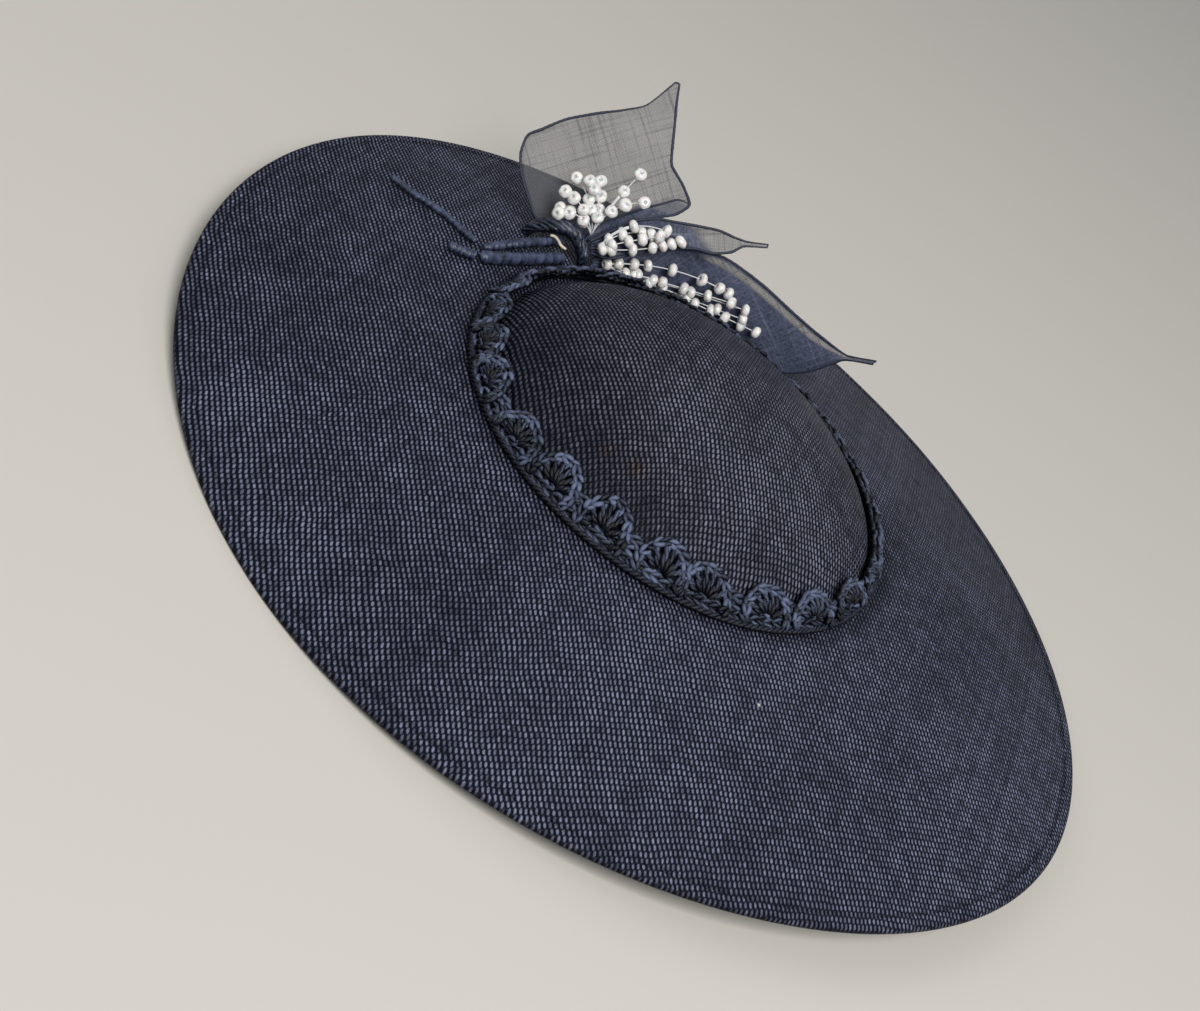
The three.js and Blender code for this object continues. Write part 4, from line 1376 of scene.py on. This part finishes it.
# turn round the dome, climb above the ledge, distance out, bow, beads, stalk
lowerSpray = {
    "facing": 0,
    "root": (136, 4.2, 94),
    "threads": [
        (103.5, 15.9, 93, 2.5, (0.34, 0.53, 0.77, 0.92, 1), 0),
        (101.6, 13.4, 92, -2.4, (0.29, 0.49, 0.65, 0.83, 1), 0),
        (97.5, 13.2, 94, -3.0, (0.23, 0.38, 0.64, 1), 0),
        (96.7, 9.3, 93.6, -3.2, (0.18, 0.46, 0.63, 0.83, 1), 0),
        (92.1, 8.0, 93.8, -3.0, (0.32, 0.62, 0.72, 0.81, 0.91, 1), 0),
        (128, 8.3, 94.6, 0.3, (0.14, 0.5, 1), 0),
    ],
}


def leaningThread(spray, thread):
    root = spray["root"]
    across, rise = thread[0] - root[0], thread[1] - root[1]
    length = math.hypot(across, rise)

    def at(s):
        bow = 4 * s * (1 - s) * thread[3] / length
        return trimPoint(
            root[0] + s * across - bow * rise,
            root[1] + s * rise + bow * across,
            root[2] + math.sqrt(max(s, 0)) * (thread[2] - root[2]),
            spray["yaw"],
        )

    return at


def roundDomeThread(spray, thread):
    root = spray["root"]

    def at(s):
        turn = math.radians(root[0] + s * (thread[0] - root[0]))
        climb = root[1] + s * (thread[1] - root[1]) + 4 * s * (1 - s) * thread[3]
        return aroundDome(turn, root[2] + s * (thread[2] - root[2]), climb)

    return at


def pearl(heap, centre, along, chance):
    turn = Vector((0, 0, 1)).rotation_difference(along).to_matrix()
    size = chance.uniform(*bead["sizes"])
    half = bead["length"] / 2 * chance.uniform(*bead["lengths"])
    offset = chance.uniform(0, 100)
    sides, rows = bead["sides"], bead["rows"]
    rings = []
    # the third number of a ring is its tone: painted shade towards the ends and in the hole
    for r in range(rows + 1):
        angle = math.pi * (r + 0.8) / (rows + 1.6)
        wide = bead["radius"] * math.sin(angle) ** 0.8 * size
        rings.append((wide, -half * math.cos(angle), 0.5 + 0.5 * math.sin(angle)))
    hole = bead["hole"] * bead["radius"]
    rings.insert(0, (hole, rings[0][1] + bead["holeDepth"], 0.0))
    rings.append((hole, rings[-1][1] - bead["holeDepth"], 0.0))
    shade = chance.uniform(0.75, 1.0)
    points, tones = [], []
    for ring, z, tone in rings:
        for s in range(sides):
            around = 2 * math.pi * s / sides
            x, y = math.cos(around), math.sin(around)
            dented = ring * (1 + bead["dents"] * noise.noise(Vector((x * 1.4, y * 1.4, z * 0.6 + offset))))
            points.append(centre + turn @ Vector((dented * x, dented * y, z)))
            tones.append(tone * shade)
    faces = ringFaces(len(rings), sides)
    faces.append(tuple(range(sides))[::-1])
    faces.append(tuple((len(rings) - 1) * sides + s for s in range(sides)))
    heap.add(points, faces, tones)


def pearlMaterial():
    board = Board("pearlBead")
    cloudy = board.cloud(620, 3.0)
    colour = board.tint(board.spread(cloudy, 0.0, 1.0, 0.4, 0.68), bead["white"], bead["clouded"])
    colour = board.tint(board.spread(board.cloud(240, 2.0), 0.0, 0.5, 0.45, 0.7), colour, bead["blush"])
    # painted shade in the hole and towards the ends
    colour = board.tint(board.spread(board.tone(), 1.0, 0.0, 0.0, 0.75), colour, bead["holeShade"])
    board.emboss(cloudy, 0.3, 0.7)
    return board.finish(Base_Color=colour, Roughness=0.22, Specular_IOR_Level=0.55, Coat_Weight=0.5,
                        Coat_Roughness=0.1, Subsurface_Weight=0.2, Subsurface_Scale=0.001)


def clearThread():
    board = Board("beadingThread")
    colour = board.tint(board.cloud(1500, 2.0), bead["darkThread"], bead["lightThread"])
    return board.finish(Base_Color=colour, Roughness=0.3, Specular_IOR_Level=0.6)


pearlCoat = pearlMaterial()
beading = clearThread()


def buildSpray(name, node, spray, pathOf):
    chance = random.Random(bead["seed"] + len(name))
    beads, threads = Heap(), Heap()
    for thread in spray["threads"]:
        at = pathOf(spray, thread)
        shares, stalk = thread[4:]
        steps = bead["threadSteps"]
        threads.add(*rope([at(i / steps) for i in range(steps + 1)], 6, lambda t, a: bead["thread"]))
        if stalk:
            steps, start = bead["stalkSteps"], bead["stalkFrom"]
            line = [at(stalk * (start + (1 - start) * i / steps)) for i in range(steps + 1)]
            threads.add(*rope(line, 8, lambda t, a: bead["stalk"] * (0.8 + 0.3 * t)), tone=1.0)
        for share in shares:
            along = (at(min(share + 0.02, 1)) - at(max(share - 0.02, 0))).normalized()
            tilt = Vector([chance.uniform(-1, 1) for _ in range(3)]) * bead["tilt"]
            pearl(beads, at(share), (along + tilt + trimFront * spray["facing"]).normalized(), chance)
    made = beads.piece(name + "Pearls", pearlCoat, "pearl")
    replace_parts(made, node)
    threads.piece(name + "Threads", beading, "pearl")


buildSpray("upper", "bead_spray_upper", upperSpray, leaningThread)
buildSpray("middle", "bead_spray_middle", middleSpray, leaningThread)
buildSpray("lower", "bead_spray_lower", lowerSpray, roundDomeThread)
print("pearls strung")


def combFinish():
    board = Board("combPlastic")
    smear = board.cloud(60, 4.0)
    board.emboss(board.cloud(900, 2.0), 0.02, 0.3)
    colour = board.tint(smear, (0.006, 0.007, 0.01), (0.014, 0.016, 0.022))
    return board.finish(Base_Color=colour, Roughness=board.spread(smear, 0.18, 0.4), Specular_IOR_Level=0.5)


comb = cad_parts["comb"]
comb.data.materials.clear()
comb.data.materials.append(combFinish())
print("comb finished")

studio = {
    "lens": 54.0,  # on a sensor 36 mm wide
    "cameraPlace": (-15.8, -567.6, 358.5),
    "elevation": 33.37,
    "roll": 37.82,
    "floorSize": 14.0,
    "floor": (0.56, 0.54, 0.5),
    "sky": (0.72, 0.75, 0.8),
    "skyStrength": 0.22,
    "aim": (0, 0, 0.03),
    "lamps": [
        ("windowLight", (0.6, -1.3, 1.7), 1.1, 52, (1.0, 0.98, 0.95)),
        ("fillLight", (-1.6, -0.6, 1.2), 1.4, 9, (1.0, 0.97, 0.93)),
        ("backLight", (0.2, 1.7, 1.4), 1.2, 5, (0.95, 0.98, 1.0)),
    ],
}


def placeCamera():
    rise, roll = math.radians(studio["elevation"]), math.radians(studio["roll"])
    back = Vector((0, -math.cos(rise), math.sin(rise)))
    levelUp = Vector((0, math.sin(rise), math.cos(rise)))
    levelRight = Vector((1, 0, 0))
    right = math.cos(roll) * levelRight + math.sin(roll) * levelUp
    up = -math.sin(roll) * levelRight + math.cos(roll) * levelUp
    camera = bpy.data.cameras.new("camera")
    camera.lens = studio["lens"]
    camera.sensor_width = 36
    camera.sensor_fit = "HORIZONTAL"
    camera.clip_start = 0.01
    camera.clip_end = 50
    holder = bpy.data.objects.new("camera", camera)
    axes = Matrix((right, up, back)).transposed()
    holder.matrix_world = Matrix.Translation(Vector(studio["cameraPlace"]) * mm) @ axes.to_4x4()
    bpy.context.scene.collection.objects.link(holder)
    bpy.context.scene.camera = holder


def lightStudio():
    for name, place, size, power, colour in studio["lamps"]:
        lamp = bpy.data.lights.new(name, "AREA")
        lamp.size = size
        lamp.energy = power
        lamp.color = colour
        stand = bpy.data.objects.new(name, lamp)
        stand.location = place
        stand.rotation_mode = "QUATERNION"
        stand.rotation_quaternion = (Vector(studio["aim"]) - Vector(place)).to_track_quat("-Z", "Y")
        bpy.context.scene.collection.objects.link(stand)
    world = bpy.data.worlds.new("studioSky")
    world.use_nodes = True
    sky = world.node_tree.nodes["Background"]
    sky.inputs[0].default_value = (*studio["sky"], 1.0)
    sky.inputs[1].default_value = studio["skyStrength"]
    bpy.context.scene.world = world
    bpy.context.scene.view_settings.view_transform = "Standard"


def layFloor():
    half = studio["floorSize"] / 2
    corners = [(-half, -half, 0), (half, -half, 0), (half, half, 0), (-half, half, 0)]
    mesh = bpy.data.meshes.new("floor")
    mesh.from_pydata(corners, [], [(0, 1, 2, 3)])
    floor = bpy.data.objects.new("floor", mesh)
    bpy.context.scene.collection.objects.link(floor)
    board = Board("paleFloor")
    colour = board.tint(board.cloud(3.0, 3.0), tuple(c * 0.96 for c in studio["floor"]), studio["floor"])
    floor.data.materials.append(board.finish(Base_Color=colour, Roughness=0.85))


placeCamera()
lightStudio()
layFloor()
print("studio lit")
